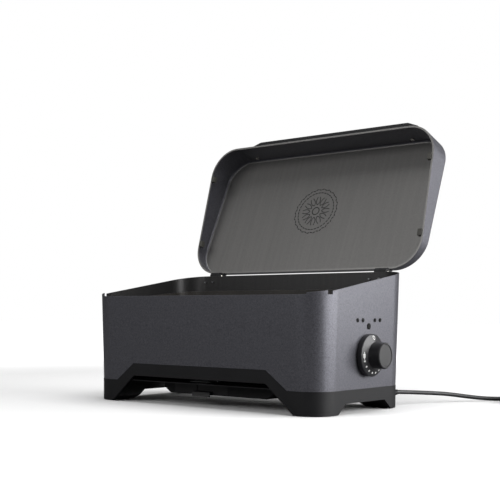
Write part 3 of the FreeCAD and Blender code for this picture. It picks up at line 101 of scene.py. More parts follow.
coil_low, coil_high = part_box("cord_coil")
coil_centre = (coil_low + coil_high) / 2
COIL_MARGIN = 0.1 * MM
BESIDE, ABOVE = 1.02, 0.99  # distance to the next turn, in diameters
outer_turn = (coil_high.x - coil_low.x) / 2 - CORD_DIAMETER / 2 - COIL_MARGIN
inner_turn = outer_turn - CORD_DIAMETER * BESIDE
low_turn = coil_low.z + CORD_DIAMETER / 2
high_turn = low_turn + CORD_DIAMETER * ABOVE

# %% Wind the coil
POINTS_PER_TURN = 24
TURN_SLOTS = [(outer_turn, low_turn), (inner_turn, low_turn), (inner_turn, high_turn),
              (outer_turn, high_turn)]
LAST_SLOT = len(TURN_SLOTS) - 1
PLUG_TURN = math.radians(20)
SHIFT_FROM = 0.8  # a turn keeps its place for this share of the way round, then moves to the next one
SETTLED = 0.15  # share of the first turn in which the cord comes to the coil's height


def smooth(share):
    """Ease from 0 to 1."""
    share = max(0.0, min(1.0, share))
    return share * share * (3 - 2 * share)


def coil_points():
    """Control points of the turns, clockwise from where the straight stretch arrives."""
    end = Vector(CORD_ROUTE[-1])
    arrive = math.atan2(end.y - coil_centre.y, end.x - coil_centre.x)
    total = LAST_SLOT + (arrive - PLUG_TURN) / math.tau
    swell = 1 / math.cos(math.pi / POINTS_PER_TURN)
    points = []
    for i in range(1, int(total * POINTS_PER_TURN) + 1):
        turns = i / POINTS_PER_TURN
        slot = min(int(turns), LAST_SLOT)
        here, after = TURN_SLOTS[slot], TURN_SLOTS[min(slot + 1, LAST_SLOT)]
        move = smooth((turns - slot - SHIFT_FROM) / (1 - SHIFT_FROM))
        radius = here[0] + (after[0] - here[0]) * move
        height = here[1] + (after[1] - here[1]) * move
        if turns < SETTLED:
            height = end.z + (low_turn - end.z) * smooth(turns / SETTLED)
        angle = arrive - turns * math.tau
        points.append((coil_centre.x + radius * swell * math.cos(angle),
                       coil_centre.y + radius * swell * math.sin(angle), height))
    return points


# %% Lead the cord's end into the plug
TAIL_RUN, TAIL_EARLY, TAIL_DEEP = 25 * MM, 6 * MM, 12 * MM
plug_low, plug_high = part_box("plug_body")
along = Vector((math.sin(PLUG_TURN), -math.cos(PLUG_TURN), 0))
reach = (coil_high.x - coil_low.x) / 2 - CORD_DIAMETER
meet = coil_centre + Vector((math.cos(PLUG_TURN), math.sin(PLUG_TURN), 0)) * reach
tail_height = (plug_low.z + plug_high.z) / 2
plug_end = [meet + along * (TAIL_RUN - TAIL_EARLY), meet + along * (TAIL_RUN + TAIL_DEEP)]
cord_points = CORD_ROUTE + coil_points() + [(p.x, p.y, tail_height) for p in plug_end]

curve = bpy.data.curves.new("power_cord_flex", "CURVE")
curve.dimensions = "3D"
spline = curve.splines.new("NURBS")
spline.points.add(len(cord_points) - 1)
for point, place in zip(spline.points, cord_points):
    point.co = (*place, 1)
spline.order_u = 3
spline.use_endpoint_u = True
spline.resolution_u = 6
curve.bevel_depth = CORD_DIAMETER / 2
curve.bevel_resolution = 5
curve.use_fill_caps = True
cord = bpy.data.objects.new("power_cord_flex", curve)
bpy.context.scene.collection.objects.link(cord)
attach(cord, "body")
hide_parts("power_cord", "cord_coil")
print("cord points", len(cord_points))

# %% [markdown]
# ## Helpers for meshes
# The strain relief is a body of revolution, and the dial's marks and the lid's ornament are thin closed
# plates. Two helpers make them: one turns a profile about an axis, and one gives a flat outline a small
# thickness on any surface.

# %% Mesh helpers


def mesh_object(name, vertices, faces, body, smooth_sides=True):
    """Closed mesh from plain lists, riding on a CAD body."""
    mesh = bpy.data.meshes.new(name)
    mesh.from_pydata([tuple(v) for v in vertices], [], faces)
    shaped = bmesh.new()
    shaped.from_mesh(mesh)
    bmesh.ops.recalc_face_normals(shaped, faces=shaped.faces)
    shaped.to_mesh(mesh)
    shaped.free()
    made = bpy.data.objects.new(name, mesh)
    bpy.context.scene.collection.objects.link(made)
    if smooth_sides:
        for polygon in mesh.polygons:
            polygon.use_smooth = True
        mesh.set_sharp_from_angle(angle=math.radians(40))
    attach(made, body)
    return made


def turned(name, profile, base, direction, body, steps=48):
    """Solid of revolution: profile is (distance along, radius) and starts and ends on the axis."""
    spin = Vector((0, 0, 1)).rotation_difference(direction)
    ring_count = len(profile) - 2
    vertices = [base + spin @ Vector((0, 0, profile[0][0]))]
    for distance, radius in profile[1:-1]:
        for i in range(steps):
            angle = math.tau * i / steps
            across = radius * math.cos(angle), radius * math.sin(angle)
            vertices.append(base + spin @ Vector((*across, distance)))
    vertices.append(base + spin @ Vector((0, 0, profile[-1][0])))
    faces = []
    for i in range(steps):
        after = (i + 1) % steps
        faces.append((0, 1 + after, 1 + i))
        for ring in range(ring_count - 1):
            a, b = 1 + ring * steps, 1 + (ring + 1) * steps
            faces.append((a + i, a + after, b + after, b + i))
        last = 1 + (ring_count - 1) * steps
        faces.append((last + i, last + after, len(vertices) - 1))
    return mesh_object(name, vertices, faces, body)


def plates(name, outlines, lay, thickness, body, sink=0.05 * MM):
    """Thin closed plates: an outline is a list of flat points, and lay(point, height) puts one in place."""
    vertices, faces = [], []
    for outline in outlines:
        first, count = len(vertices), len(outline)
        vertices += [lay(p, -sink) for p in outline] + [lay(p, thickness) for p in outline]
        faces.append(tuple(first + i for i in reversed(range(count))))
        faces.append(tuple(first + count + i for i in range(count)))
        for i in range(count):
            after = (i + 1) % count
            faces.append((first + i, first + after, first + count + after, first + count + i))
    return mesh_object(name, vertices, faces, body, smooth_sides=False)


# %% [markdown]
# ## The strain relief
# Where the cord leaves the base it is held by a soft moulded boot. A real boot has ribs, cut by grooves, so
# that it bends in a gentle curve and never at one spot. Its outline is a cone with a groove cut in at even
# steps.

# %% Ribbed strain relief
relief_low, relief_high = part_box("strain_relief")
RELIEF_FREE = 28 * MM
ROOT_RADIUS, TIP_RADIUS, GROOVE = 6.4 * MM, 4.6 * MM, 0.9 * MM
FLANGE_STEP, FIRST_RIB, PLAIN_ENDS = 2.5 * MM, 2 * MM, 5 * MM
TIP_BAND, TIP_ROUND = 1 * MM, 0.6 * MM
RIBS = 6
RIB_SHAPE = ((0.0, 0), (0.55, 0), (0.68, 1), (0.87, 1))  # share of the pitch, and 1 where it is grooved
relief_axis = Vector(((relief_low.x + relief_high.x) / 2, relief_high.y - RELIEF_FREE,
                      (relief_low.z + relief_high.z) / 2))


def relief_profile():
    """Flange and stem inside the wall, then a grooved cone."""
    inner = relief_low.y - relief_axis.y
    flange = (relief_high.x - relief_low.x) / 2
    step = inner + FLANGE_STEP
    profile = [(inner, 0), (inner, flange), (step, flange), (step, ROOT_RADIUS)]
    pitch = (RELIEF_FREE - PLAIN_ENDS) / RIBS
    for i in range(RIBS):
        start = FIRST_RIB + i * pitch
        for share, cut in RIB_SHAPE:
            distance = start + share * pitch
            radius = ROOT_RADIUS + (TIP_RADIUS - ROOT_RADIUS) * distance / RELIEF_FREE
            profile.append((distance, radius - cut * GROOVE))
    profile += [(RELIEF_FREE - TIP_BAND, TIP_RADIUS), (RELIEF_FREE, TIP_RADIUS - TIP_ROUND), (RELIEF_FREE, 0)]
    return profile


relief = turned("strain_relief_boot", relief_profile(), relief_axis, Vector((0, 1, 0)), "body")
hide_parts("strain_relief")
print("strain relief ribs:", RIBS)

# %% [markdown]
# ## The dial's marks
# The scale is pad-printed in white ink on the sloping face of the dial. Ink is thin but real, so each mark
# is a closed plate a tenth of a millimetre proud of the cone. An open ring at the top is the off position,
# a bar a quarter turn on is the lowest heat, and a row of dots after it counts up.

# %% Marks on the dial
dial_low, dial_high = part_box("dial_skirt")
dial_centre = Vector((dial_low.x, (dial_low.y + dial_high.y) / 2, (dial_low.z + dial_high.z) / 2))
CONE_SIDE, CONE_RISE = 8 * MM, 4.5 * MM
CONE_OUT, CONE_IN = 33.5 * MM, 21.3 * MM
PRINT = 0.12 * MM
SCALE_RADIUS, DOT_RADIUS = 28.5 * MM, 1.6 * MM
DOTS, FIRST_DOT, DOT_STEP = 8, 107.5, 20.6
DOT_ANGLES = [FIRST_DOT + DOT_STEP * i for i in range(DOTS)]
OFF_ANGLE, OFF_RING = 0, (3.1 * MM, 3.6 * MM, 1.1 * MM)
LOW_ANGLE, LOW_BARS = 90, [(6 * MM, 0.7 * MM), (3.2 * MM, 2.0 * MM)]


def on_cone(point, height):
    """Put a point (distance out, angle from the top towards the front) on the sloping face."""
    radius, angle = point
    rise = CONE_SIDE + CONE_RISE * (CONE_OUT - radius) / (CONE_OUT - CONE_IN)
    return dial_centre + Vector((rise + height, -radius * math.sin(angle), radius * math.cos(angle)))


def round_mark(angle, across, tall, steps=16):
    """Ellipse on the scale circle."""
    return [(SCALE_RADIUS + tall * math.sin(math.tau * i / steps),
             math.radians(angle) + across * math.cos(math.tau * i / steps) / SCALE_RADIUS)
            for i in range(steps)]


def bar_mark(angle, half_long, half_tall, steps=8):
    """Bar bent along the scale circle."""
    out = [(SCALE_RADIUS + half_tall, math.radians(angle) + half_long * (2 * i / steps - 1) / SCALE_RADIUS)
           for i in range(steps + 1)]
    back = [(SCALE_RADIUS - half_tall, spot) for _, spot in reversed(out)]
    return out + back


def ring_segments(angle, across, tall, width, steps=16):
    """Ring drawn as short closed pieces."""
    outer = round_mark(angle, across, tall, steps)
    inner = round_mark(angle, across - width, tall - width, steps)
    return [[outer[i], outer[(i + 1) % steps], inner[(i + 1) % steps], inner[i]] for i in range(steps)]


marks = [round_mark(angle, DOT_RADIUS, DOT_RADIUS) for angle in DOT_ANGLES]
marks += ring_segments(OFF_ANGLE, *OFF_RING)
marks += [bar_mark(LOW_ANGLE, half_long, half_tall) for half_long, half_tall in LOW_BARS]
dial_print = plates("dial_scale_print", marks, on_cone, PRINT, "dial")
print("dial marks:", DOTS, "dots")

# %% [markdown]
# ## The ornament inside the lid
# A fine round ornament is printed in the middle of the lid's inner face. Here it is a plain rosette of
# twelve leaves inside two dashed rings, which says nothing and belongs to nobody. A ray cast at the lid
# finds its inner face, and the lines are laid on the plane that it hits.

# %% Rosette on the lid
lid_low, lid_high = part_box("lid_shell")
ORNAMENT_HEIGHT, ORNAMENT_LEFT = 0.463, 6 * MM
AIM_FROM = 0.2
aim_height = lid_low.z + ORNAMENT_HEIGHT * (lid_high.z - lid_low.z)
aim = Vector(((lid_low.x + lid_high.x) / 2 - ORNAMENT_LEFT, lid_low.y - AIM_FROM, aim_height))
found, spot, normal, _ = nodes["lid_shell"].ray_cast(aim, Vector((0, 1, 0)))
side_way = Vector((1, 0, 0))
up_way = normal.cross(side_way).normalized()
up_way = up_way if up_way.z > 0 else -up_way
LINE, LEAF_LINE, PAINT = 1.9 * MM, 0.8, 0.15 * MM
RING_DASHES = [(49 * MM, 44, 1.2 * MM, 22), (41.5 * MM, 36, 0, 0)]  # radius, dashes, depth and count of waves
DASH_SHARE, DASH_STEPS = 0.66, 3
LEAVES, LEAF_FROM, LEAF_TO, LEAF_HALF = 12, 14 * MM, 38 * MM, 4.6 * MM
LEAF_STEPS, LEAF_DRAWN, LEAF_SKEW = 8, 7, 0.8  # the leaf is open at its tip, so its last steps are left out
CENTRE_RING, CENTRE_STEPS = 8 * MM, 20
LINE_LAP = 0.15


def on_lid(point, height):
    return spot + side_way * point[0] + up_way * point[1] + normal * height


def polar(radius, angle):
    return radius * math.cos(angle), radius * math.sin(angle)


def stroke(points, width):
    """Line of short closed pieces, each a little longer than its step."""
    pieces = []
    for (ax, ay), (bx, by) in zip(points, points[1:]):
        length = math.hypot(bx - ax, by - ay)
        ux, uy = (bx - ax) / length, (by - ay) / length
        grow, half = width * LINE_LAP, width / 2
        ax, ay, bx, by = ax - ux * grow, ay - uy * grow, bx + ux * grow, by + uy * grow
        pieces.append([(ax - uy * half, ay + ux * half), (bx - uy * half, by + ux * half),
                       (bx + uy * half, by - ux * half), (ax + uy * half, ay - ux * half)])
    return pieces


strokes = []
for radius, count, wave, waves in RING_DASHES:
    for i in range(count):
        start = math.tau * i / count
        angles = [start + DASH_SHARE * math.tau / count * k / DASH_STEPS for k in range(DASH_STEPS + 1)]
        strokes += stroke([polar(radius + wave * math.cos(waves * a), a) for a in angles], LINE)
for i in range(LEAVES):
    middle = math.tau * i / LEAVES
    for side in (-1, 1):
        leaf = []
        for k in range(LEAF_DRAWN):
            radius = LEAF_FROM + (LEAF_TO - LEAF_FROM) * k / LEAF_STEPS
            bulge = LEAF_HALF * math.sin(math.pi * (k / LEAF_STEPS) ** LEAF_SKEW)
            leaf.append(polar(radius, middle + side * bulge / radius))
        strokes += stroke(leaf, LINE * LEAF_LINE)
strokes += stroke([polar(CENTRE_RING, math.tau * k / CENTRE_STEPS) for k in range(CENTRE_STEPS + 1)], LINE)
ornament = plates("lid_ornament", strokes, on_lid, PAINT, "lid")
print("ornament pieces:", len(strokes), "hit", found)

# %% [markdown]
# ## Rounded edges
# No real edge is perfectly sharp: sheet is folded round a radius and mouldings come from a mould that was
# cut with a round tool. A bevel of a few tenths of a millimetre gives each edge the thin line of light that
# the eye expects.

# %% Bevels
EDGE_RADII = {
    "housing_shell": 0.9, "lid_shell": 0.7, "base_skirt": 0.8, "drawer_grip": 0.6, "drip_drawer": 0.5,
    "drawer_housing": 0.6, "griddle_plate": 0.8, "plug_body": 0.8, "dial_knob": 0.4,
    "hinge_bracket_left": 0.4, "hinge_bracket_right": 0.4, "lid_hinge_left": 0.4, "lid_hinge_right": 0.4,
}
SHARPER_THAN = math.radians(42)
for name, radius in EDGE_RADII.items():
    bevel = nodes[name].modifiers.new("edge_radius", "BEVEL")
    bevel.width, bevel.segments = radius * MM, 2
    bevel.limit_method, bevel.angle_limit = "ANGLE", SHARPER_THAN
    bevel.harden_normals = True

# %% [markdown]
# ## Helpers for materials
# Colours are picked as sRGB hex values, as in any paint program, but the renderer works with linear light,
# so one function converts them. Another adds a shader node, sets its inputs and links it. Everything else
# is written out, so that each material can be read from top to bottom.

# %% Material helpers


def hex_colour(code):
    """sRGB hex to linear RGBA."""
    parts = [int(code[i:i + 2], 16) / 255 for i in (0, 2, 4)]
    return (*[c / 12.92 if c <= 0.04045 else ((c + 0.055) / 1.055) ** 2.4 for c in parts], 1)


def add_node(tree, kind, inputs=None, **settings):
    """Add a shader node, set its properties, and set or link its inputs."""
    node = tree.nodes.new("ShaderNode" + kind)
    for name, value in settings.items():
        setattr(node, name, value)
    for name, value in (inputs or {}).items():
        if isinstance(value, bpy.types.NodeSocket):
            tree.links.new(value, node.inputs[name])
        else:
            node.inputs[name].default_value = value
    return node


def per_metre(millimetres):
    """Texture scale that gives a pattern of that size."""
    return 1000 / millimetres


def new_finish(name, **principled):
    """Empty material with a Principled shader whose fixed values are set on its own sockets."""
    material = bpy.data.materials.new(name)
    material.use_nodes = True
    tree = material.node_tree
    tree.nodes.clear()
    fixed = {key.replace("_", " "): value for key, value in principled.items()}
    shader = add_node(tree, "BsdfPrincipled", fixed)
    add_node(tree, "OutputMaterial", {"Surface": shader.outputs["BSDF"]})
    place = add_node(tree, "TexCoord").outputs["Object"]
    return material, tree, shader, place


def noise(tree, place, size_mm, detail=3.0, roughness=0.5):
    """Soft random pattern whose blobs are about size_mm across."""
    return add_node(tree, "TexNoise", {"Vector": place, "Scale": per_metre(size_mm), "Detail": detail,
                                       "Roughness": roughness}).outputs["Fac"]


def stretched(tree, place, scale):
    """Coordinates squeezed along one or two axes, which draws a pattern out into streaks."""
    return add_node(tree, "Mapping", {"Vector": place, "Scale": scale}).outputs["Vector"]


def two_tone(tree, factor, dark, light, low=0.3, high=0.7):
    """Colour that runs between two hex values as the factor goes from low to high."""
    ramp = add_node(tree, "ValToRGB", {"Fac": factor})
    ramp.color_ramp.elements[0].position = low
    ramp.color_ramp.elements[0].color = hex_colour(dark)
    ramp.color_ramp.elements[1].position = high
    ramp.color_ramp.elements[1].color = hex_colour(light)
    return ramp.outputs["Color"]


def spread(tree, factor, low, high):
    """Number that runs between two values with the factor."""
    return add_node(tree, "MapRange", {"Value": factor, "From Min": 0.3, "From Max": 0.7, "To Min": low,
                                       "To Max": high}).outputs["Result"]


def relief_of(tree, height, depth_mm, before=None):
    """Bump from a height pattern, with its depth in millimetres."""
    inputs = {"Height": height, "Distance": depth_mm * MM, "Strength": 1.0}
    if before is not None:
        inputs["Normal"] = before
    return add_node(tree, "Bump", inputs).outputs["Normal"]


def link(tree, shader, **sockets):
    """Join each output to the shader's input of that name."""
    for name, value in sockets.items():
        tree.links.new(value, shader.inputs[name.replace("_", " ")])


# %% [markdown]
# ## Paint on the housing and the lid
# The housing and the lid are pressed steel sheet with a baked grey metallic enamel. Fine flakes in the
# paint give it a half-metal sheen, so it turns bright where it mirrors a lamp and stays dark elsewhere. The
# flakes are about 0.1 mm in truth, and they are drawn at about a millimetre here so that they can be seen
# at all. A slow orange-peel ripple from spraying lies over them. The faces that look inwards get painted
# light and shade in place of the flakes' colour: the inside of the housing is painted darker, as painted
# shade, and the lid's inside is painted lighter and warmer, as painted light, with faint lines from the
# sheet's rolling. Whether a face looks inwards is told from its normal: on the housing it points back at
# the middle, and on the lid it points out of the open mouth.

# %% Which faces look inwards


def dot_with(tree, vector, direction):
    return add_node(tree, "VectorMath", {0: vector, 1: direction}, operation="DOT_PRODUCT").outputs["Value"]


def housing_painted_shade_mask(tree, place):
    """1 where the outline's normal points back towards the middle: there the housing's inside is painted
    darker, as painted shade.
    """
    facing = add_node(tree, "TexCoord").outputs["Normal"]
    flat = add_node(tree, "VectorMath", {0: place, 1: (1, 1, 0)}, operation="MULTIPLY").outputs["Vector"]
    inward = dot_with(tree, facing, flat)
    return add_node(tree, "Math", {0: inward, 1: -0.02}, operation="LESS_THAN").outputs[0]


def lid_painted_light_mask(tree, place):
    """1 where the face looks out of the lid's mouth: there the lid's inside is painted lighter and warmer, as
    painted light.
    """
    facing = add_node(tree, "TexCoord").outputs["Normal"]
    outward = dot_with(tree, facing, tuple(normal))
    return add_node(tree, "Math", {0: outward, 1: 0.8}, operation="GREATER_THAN").outputs[0]


# %% Metallic enamel


def metallic_enamel(name, dark, light, painted_inside_dark, painted_inside_light, roughness, metallic, inside, streaks):
    """Enamel with flakes outside; on the faces that look inwards the colour is painted light and shade from
    the given inside colours.
    """
    material, tree, shader, place = new_finish(name, Metallic=metallic, Coat_Weight=0.1, Coat_Roughness=0.3)
    flakes = noise(tree, place, 1.3, 2.0, 0.7)
    sparks = noise(tree, place, 3.0, 2.0, 0.6)
    speckle = add_node(tree, "Mix", {"Factor": 0.35, "A": flakes, "B": sparks}).outputs["Result"]
    lines = noise(tree, stretched(tree, place, (1.0, 0.05, 0.03)), 7.0, 3.0)
    drawn = add_node(tree, "Mix", {"Factor": streaks, "A": speckle, "B": lines}).outputs["Result"]
    outer = two_tone(tree, speckle, dark, light, 0.36, 0.64)
    # Painted light and shade: the faces that look inwards get these colours in place of the flake colours.
    inner = two_tone(tree, drawn, painted_inside_dark, painted_inside_light, 0.34, 0.66)
    colour = add_node(tree, "Mix", {"Factor": inside(tree, place), 6: outer, 7: inner}, data_type="RGBA")
    ripple = relief_of(tree, noise(tree, place, 2.4, 1.0), 0.010)
    link(tree, shader, Base_Color=colour.outputs[2],
         Roughness=spread(tree, flakes, roughness - 0.05, roughness + 0.06),
         Normal=relief_of(tree, flakes, 0.006, ripple))
    return material


# Housing: the inside colours 2a2a2b and 383737 are painted shade, darker than the outer enamel.
enamel = metallic_enamel("baked_metallic_enamel_with_painted_shade_inside", "4c4c52", "67676e", "2a2a2b", "383737", 0.40, 0.6,
                         housing_painted_shade_mask, 0.3)
# Lid: the inside colours 6e6d6c and 7e7d7b are painted light, lighter and warmer than the outer enamel.
lid_enamel = metallic_enamel("lid_enamel_with_painted_light_inside", "4c4c52", "67676e", "6e6d6c", "7e7d7b",
                             0.42, 0.6, lid_painted_light_mask, 0.28)

# %% [markdown]
# ## Black mouldings
# The base, the trough, the handle and the drawer are moulded in heat-resistant nylon with glass fibre. The
# mould is spark-eroded, which prints a fine even grain of about a millimetre on the plastic and makes it
# matt. Where hands and cloths rub, the grain is a little smoother, so the roughness drifts slowly.

# %% Grained plastics


def grained_plastic(name, dark, light, roughness, grain_mm, grain_depth_mm, ior=1.53, coat=0.0, shine=0.4):
    material, tree, shader, place = new_finish(name, IOR=ior, Coat_Weight=coat, Coat_Roughness=0.25,
                                               Specular_IOR_Level=shine)
    grain = add_node(tree, "TexVoronoi", {"Vector": place, "Scale": per_metre(grain_mm)},
                     feature="SMOOTH_F1").outputs["Distance"]
    drift = noise(tree, place, 45.0, 3.0)
    fine = noise(tree, place, grain_mm * 0.8, 2.0)
    tone = add_node(tree, "Math", {0: drift, 1: fine}, operation="ADD").outputs[0]
    tone = add_node(tree, "Math", {0: tone, 1: 2.0}, operation="DIVIDE").outputs[0]
    link(tree, shader, Base_Color=two_tone(tree, tone, dark, light, 0.36, 0.64),
         Roughness=spread(tree, drift, roughness - 0.05, roughness + 0.07),
         Normal=relief_of(tree, grain, grain_depth_mm))
    return material


black_nylon = grained_plastic("spark_grained_black_nylon", "0e0e10", "161619", 0.52, 0.9, 0.03, shine=0.28)
knob_nylon = grained_plastic("satin_black_phenolic", "141416", "1e1e21", 0.36, 1.2, 0.012, coat=0.15)
dial_abs = grained_plastic("satin_dark_abs", "1c1c1f", "2a2a2e", 0.38, 1.0, 0.012, coat=0.1)
drawer_abs = grained_plastic("fine_grained_black_abs", "101012", "19191c", 0.45, 0.8, 0.02)
foot_rubber = grained_plastic("moulded_silicone_rubber", "161616", "202020", 0.72, 1.4, 0.04, ior=1.42)
bumper_silicone = grained_plastic("grey_silicone_rubber", "45443f", "504f4b", 0.6, 1.0, 0.02, ior=1.42)
bush_nylon = grained_plastic("turned_black_acetal", "0c0c0d", "151517", 0.3, 0.6, 0.008, ior=1.48)
tie_plastic = grained_plastic("extruded_black_polyamide", "0e0e0f", "18181a", 0.4, 0.7, 0.01)
block_nylon = grained_plastic("white_polyamide_block", "cfccc2", "e2dfd6", 0.45, 0.8, 0.02)

# %% [markdown]
# ## Cord jacket
# A flexible lead has an extruded jacket of soft PVC. It leaves the die with a satin skin, faint length-wise
# drag marks and dust that settles as slightly paler patches.

# %% Extruded jacket


def extruded_jacket(name, dark, light):
    material, tree, shader, place = new_finish(name, IOR=1.52, Coat_Weight=0.05, Coat_Roughness=0.4)
    patches = noise(tree, place, 14.0, 4.0)
    skin = noise(tree, place, 1.0, 2.0)
    link(tree, shader, Base_Color=two_tone(tree, patches, dark, light, 0.35, 0.7),
         Roughness=spread(tree, patches, 0.42, 0.56), Normal=relief_of(tree, skin, 0.02))
    return material


jacket = extruded_jacket("extruded_soft_pvc", "141415", "252528")

# %% [markdown]
# ## Hot plate
# The plate is cast aluminium with a dark non-stick coat. The coat is sprayed on a blasted surface, so it
# has a pebbled feel and is flecked with paler specks.

# %% Non-stick coat


def nonstick_coat(name):
    material, tree, shader, place = new_finish(name, IOR=1.38, Metallic=0.15, Coat_Weight=0.25,
                                               Coat_Roughness=0.35)
    specks = add_node(tree, "TexVoronoi", {"Vector": place, "Scale": per_metre(3.0)}).outputs["Distance"]
    pebbles = noise(tree, place, 1.6, 3.0)
    seasoning = noise(tree, place, 70.0, 4.0)
    base = two_tone(tree, seasoning, "2a2826", "383532")
    flecks = add_node(tree, "Math", {0: specks, 1: 0.14}, operation="LESS_THAN").outputs[0]
    colour = add_node(tree, "Mix", {"Factor": flecks, 6: base, 7: hex_colour("5a5a60")}, data_type="RGBA")
    link(tree, shader, Base_Color=colour.outputs[2], Roughness=spread(tree, seasoning, 0.38, 0.52),
         Normal=relief_of(tree, pebbles, 0.04))
    return material


nonstick = nonstick_coat("sprayed_nonstick_coat")

# %% [markdown]
# ## Sheet steel, screws and pins
# Inner brackets are zinc-plated sheet, whose crystals show as soft flakes a few millimetres wide. The
# reflector is rolled, aluminised sheet with fine lines along the roll. Screws and hinge pins are turned and
# nickel-plated, so they are bright with very fine rings.

# %% Metals


def plated_sheet(name, dark, light, flake_mm, roughness, stretch=(1, 1, 1)):
    material, tree, shader, place = new_finish(name, Metallic=1.0)
    laid = stretched(tree, place, stretch)
    flakes = add_node(tree, "TexVoronoi", {"Vector": laid, "Scale": per_metre(flake_mm)}).outputs["Color"]
    tone = add_node(tree, "RGBToBW", {"Color": flakes}).outputs["Val"]
    haze = noise(tree, place, 20.0, 4.0)
    link(tree, shader, Base_Color=two_tone(tree, tone, dark, light, 0.1, 0.9),
         Roughness=spread(tree, haze, roughness - 0.06, roughness + 0.08),
         Normal=relief_of(tree, noise(tree, laid, flake_mm * 0.4, 2.0), 0.008))
    return material


zinc_sheet = plated_sheet("zinc_plated_sheet", "9a9ca0", "b6b8bb", 6.0, 0.38)
rolled_sheet = plated_sheet("rolled_aluminised_sheet", "a5a6a8", "c4c5c6", 2.0, 0.32, (0.05, 1, 1))
nickel = plated_sheet("bright_nickel_plate", "b9b6ae", "d6d3cb", 0.8, 0.2, (1, 0.2, 1))
zinc_screw = plated_sheet("zinc_plated_screw_steel", "8f9195", "b0b2b5", 1.2, 0.34)
sheath = plated_sheet("oxidised_heater_sheath", "4a4643", "6b655f", 4.0, 0.5)
copper = plated_sheet("drawn_copper_capillary", "a8643f", "c98962", 1.5, 0.3, (0.1, 1, 1))

# %% [markdown]
# ## Small things
# The hinge halves are steel with a black powder coat, which is thick and pebbled. The lamp lenses are
# smoked acrylic and look black until their lamp is lit. The thermostat is glazed ceramic, the leads wear a
# woven glass sleeve and the lamp board is green with a pattern of tracks.

# %% Powder coat, lens and ceramic
powder_coat = grained_plastic("black_powder_coat", "0e0e10", "17171a", 0.48, 0.9, 0.03, ior=1.5, shine=0.3)
ceramic = grained_plastic("matt_glazed_steatite", "c4bcab", "d9d2c3", 0.42, 0.7, 0.015, ior=1.6)
resin = grained_plastic("milky_epoxy_resin", "d3d3cc", "e6e6e0", 0.3, 0.5, 0.006, ior=1.54)


def smoked_acrylic(name):
    material, tree, shader, place = new_finish(name, IOR=1.49, Specular_IOR_Level=0.06)
    swirl = noise(tree, place, 3.0, 2.0)
    link(tree, shader, Base_Color=two_tone(tree, swirl, "030303", "080809"),
         Roughness=spread(tree, swirl, 0.3, 0.4))
    return material


lens = smoked_acrylic("smoked_acrylic_lens")

# %% Woven sleeve and lamp board


def woven_sleeve(name):
    material, tree, shader, place = new_finish(name, IOR=1.55, Sheen_Weight=0.2)
    one = add_node(tree, "TexWave", {"Vector": place, "Scale": per_metre(4.0), "Distortion": 1.0},
                   bands_direction="DIAGONAL").outputs["Fac"]
    threads = noise(tree, place, 0.8, 2.0)
    link(tree, shader, Base_Color=two_tone(tree, one, "9c968a", "cfc9bb"),
         Roughness=spread(tree, threads, 0.7, 0.85), Normal=relief_of(tree, one, 0.15))
    return material


def lamp_board(name):
    material, tree, shader, place = new_finish(name, IOR=1.5, Coat_Weight=0.4, Coat_Roughness=0.15)
    tracks = add_node(tree, "TexBrick", {
        "Vector": place, "Scale": per_metre(40.0), "Color1": hex_colour("1c5a35"),
        "Color2": hex_colour("20643b"), "Mortar": hex_colour("3f8a58")})
    mask = noise(tree, place, 8.0, 3.0)
    link(tree, shader, Base_Color=tracks.outputs["Color"], Roughness=spread(tree, mask, 0.3, 0.42),
         Normal=relief_of(tree, tracks.outputs["Fac"], 0.03))
    return material


sleeve = woven_sleeve("woven_glass_sleeve")
board = lamp_board("solder_masked_board")

# %% Printing inks


def printing_ink(name, dark, light, roughness):
    material, tree, shader, place = new_finish(name, IOR=1.5)
    cover = noise(tree, place, 2.0, 3.0)
    link(tree, shader, Base_Color=two_tone(tree, cover, dark, light),
         Roughness=spread(tree, cover, roughness, roughness + 0.1), Normal=relief_of(tree, cover, 0.01))
    return material


white_ink = printing_ink("white_pad_print", "dcdcda", "f2f2f0", 0.45)
dark_ink = printing_ink("dark_screen_print", "0b0b0c", "131314", 0.7)

# %% [markdown]
# ## Dress every piece
# Each CAD piece names a material slot in the model's record. One table says which finish each slot gets,
# and a loop gives it to the pieces, so no piece is forgotten.

# %% Give the finishes out
FINISHES = {
    "black_moulding": black_nylon, "foot_rubber": foot_rubber, "bumper_rubber": bumper_silicone,
    "grey_paint": enamel, "zinc_sheet": zinc_sheet, "zinc_screw": zinc_screw,
    "nonstick_plate": nonstick, "aluminised_sheet": rolled_sheet, "heater_sheath": sheath,
    "thermostat_ceramic": ceramic, "dial_plastic": dial_abs, "knob_plastic": knob_nylon,
    "lamp_lens": lens, "led_resin": resin, "circuit_board": board, "drawer_plastic": drawer_abs,
    "bright_screw": nickel, "black_steel": powder_coat, "bush_nylon": bush_nylon,
    "terminal_plastic": block_nylon, "lead_sleeve": sleeve, "sensor_copper": copper,
    "cord_rubber": jacket, "tie_plastic": tie_plastic, "pin_brass": nickel,
}


def wear(piece, material):
    piece.data.materials.clear()
    piece.data.materials.append(material)


for part in frame["record"]["subparts"]:
    wear(nodes[part["node"]], FINISHES[part["material_slot"]])
EXTRAS = ((nodes["lid_shell"], lid_enamel), (cord, jacket), (relief, jacket), (dial_print, white_ink),
          (ornament, dark_ink))
for piece, material in EXTRAS:
    wear(piece, material)
print("finishes:", len(bpy.data.materials))

# %% [markdown]
# ## Floor and light
# A plain white sweep and soft boxes are all that a product picture needs. The large box stands to the right
# and a little behind, so the side with the dial mirrors it and turns pale, while the front looks at a dark
# part of the studio and stays deep grey. A box high in front is mirrored by the open lid, and one overhead
# lights the floor. A catalogue whitens its background afterwards. The paper does the same here: the eye
# sees it full white, but the light that bounces off it on to the griddle is only that of a grey card.

# %% Floor
PAPER_SEEN, PAPER_BOUNCE = "fbfbfb", "6e6e6e"
FLOOR_SIZE, FADE_FROM, FADE_TO = 24, 0.9, 2.2

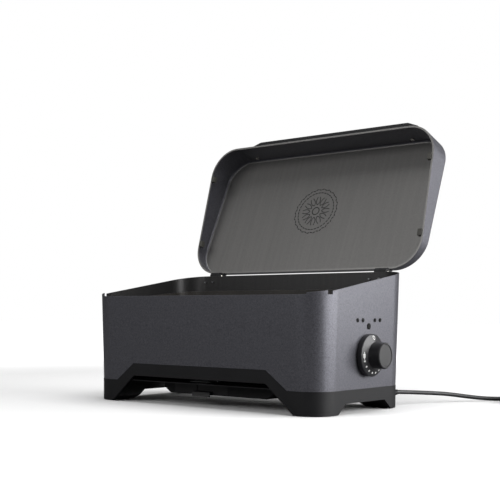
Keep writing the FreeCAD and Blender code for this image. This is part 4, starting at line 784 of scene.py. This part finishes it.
bpy.ops.mesh.primitive_plane_add(size=FLOOR_SIZE)
floor = bpy.context.object
floor.name = "studio_floor"
paper, paper_tree, paper_shader, paper_place = new_finish("white_paper_sweep", Roughness=0.9)
direct = add_node(paper_tree, "LightPath").outputs["Is Camera Ray"]
tone = add_node(paper_tree, "Mix", {"Factor": direct, 6: hex_colour(PAPER_BOUNCE), 7: hex_colour(PAPER_SEEN)},
                data_type="RGBA")
away = add_node(paper_tree, "VectorMath", {0: paper_place}, operation="LENGTH").outputs["Value"]
faded = add_node(paper_tree, "MapRange", {"Value": away, "From Min": FADE_FROM, "From Max": FADE_TO},
                 interpolation_type="SMOOTHSTEP").outputs["Result"]
glow = add_node(paper_tree, "Math", {0: faded, 1: direct}, operation="MULTIPLY").outputs[0]
link(paper_tree, paper_shader, Base_Color=tone.outputs[2], Emission_Strength=glow)
paper_shader.inputs["Emission Color"].default_value = hex_colour(PAPER_SEEN)
floor.data.materials.append(paper)

# %% Soft boxes


def soft_box(name, place, target, width, height, watts):
    """Rectangular area light that faces its target."""
    light = bpy.data.lights.new(name, "AREA")
    light.shape = "RECTANGLE"
    light.size, light.size_y, light.energy = width, height, watts
    box = bpy.data.objects.new(name, light)
    box.location = place
    box.rotation_euler = (Vector(target) - Vector(place)).to_track_quat("-Z", "Y").to_euler()
    bpy.context.scene.collection.objects.link(box)


soft_box("key_box", (2.5, 1.0, 0.62), (0, 0, 0.13), 3.2, 1.9, 146)
soft_box("top_box", (0.2, 0.2, 2.8), (0, 0.2, 0), 2.6, 2.6, 62)
soft_box("lid_box", (-0.8, -2.4, 1.5), (0, 0.2, 0.37), 2.4, 1.7, 30)

WORLD_LIGHT, WORLD_SEEN = 0.12, 1.0
world = bpy.data.worlds.new("studio")
world.use_nodes = True
bpy.context.scene.world = world
world_tree = world.node_tree
world_tree.nodes.clear()
dim = add_node(world_tree, "Background", {"Color": hex_colour("ffffff"), "Strength": WORLD_LIGHT})
bright = add_node(world_tree, "Background", {"Color": hex_colour("ffffff"), "Strength": WORLD_SEEN})
seen = add_node(world_tree, "LightPath").outputs["Is Camera Ray"]
both = add_node(world_tree, "MixShader", {0: seen, 1: dim.outputs[0], 2: bright.outputs[0]})
add_node(world_tree, "OutputWorld", {"Surface": both.outputs[0]})
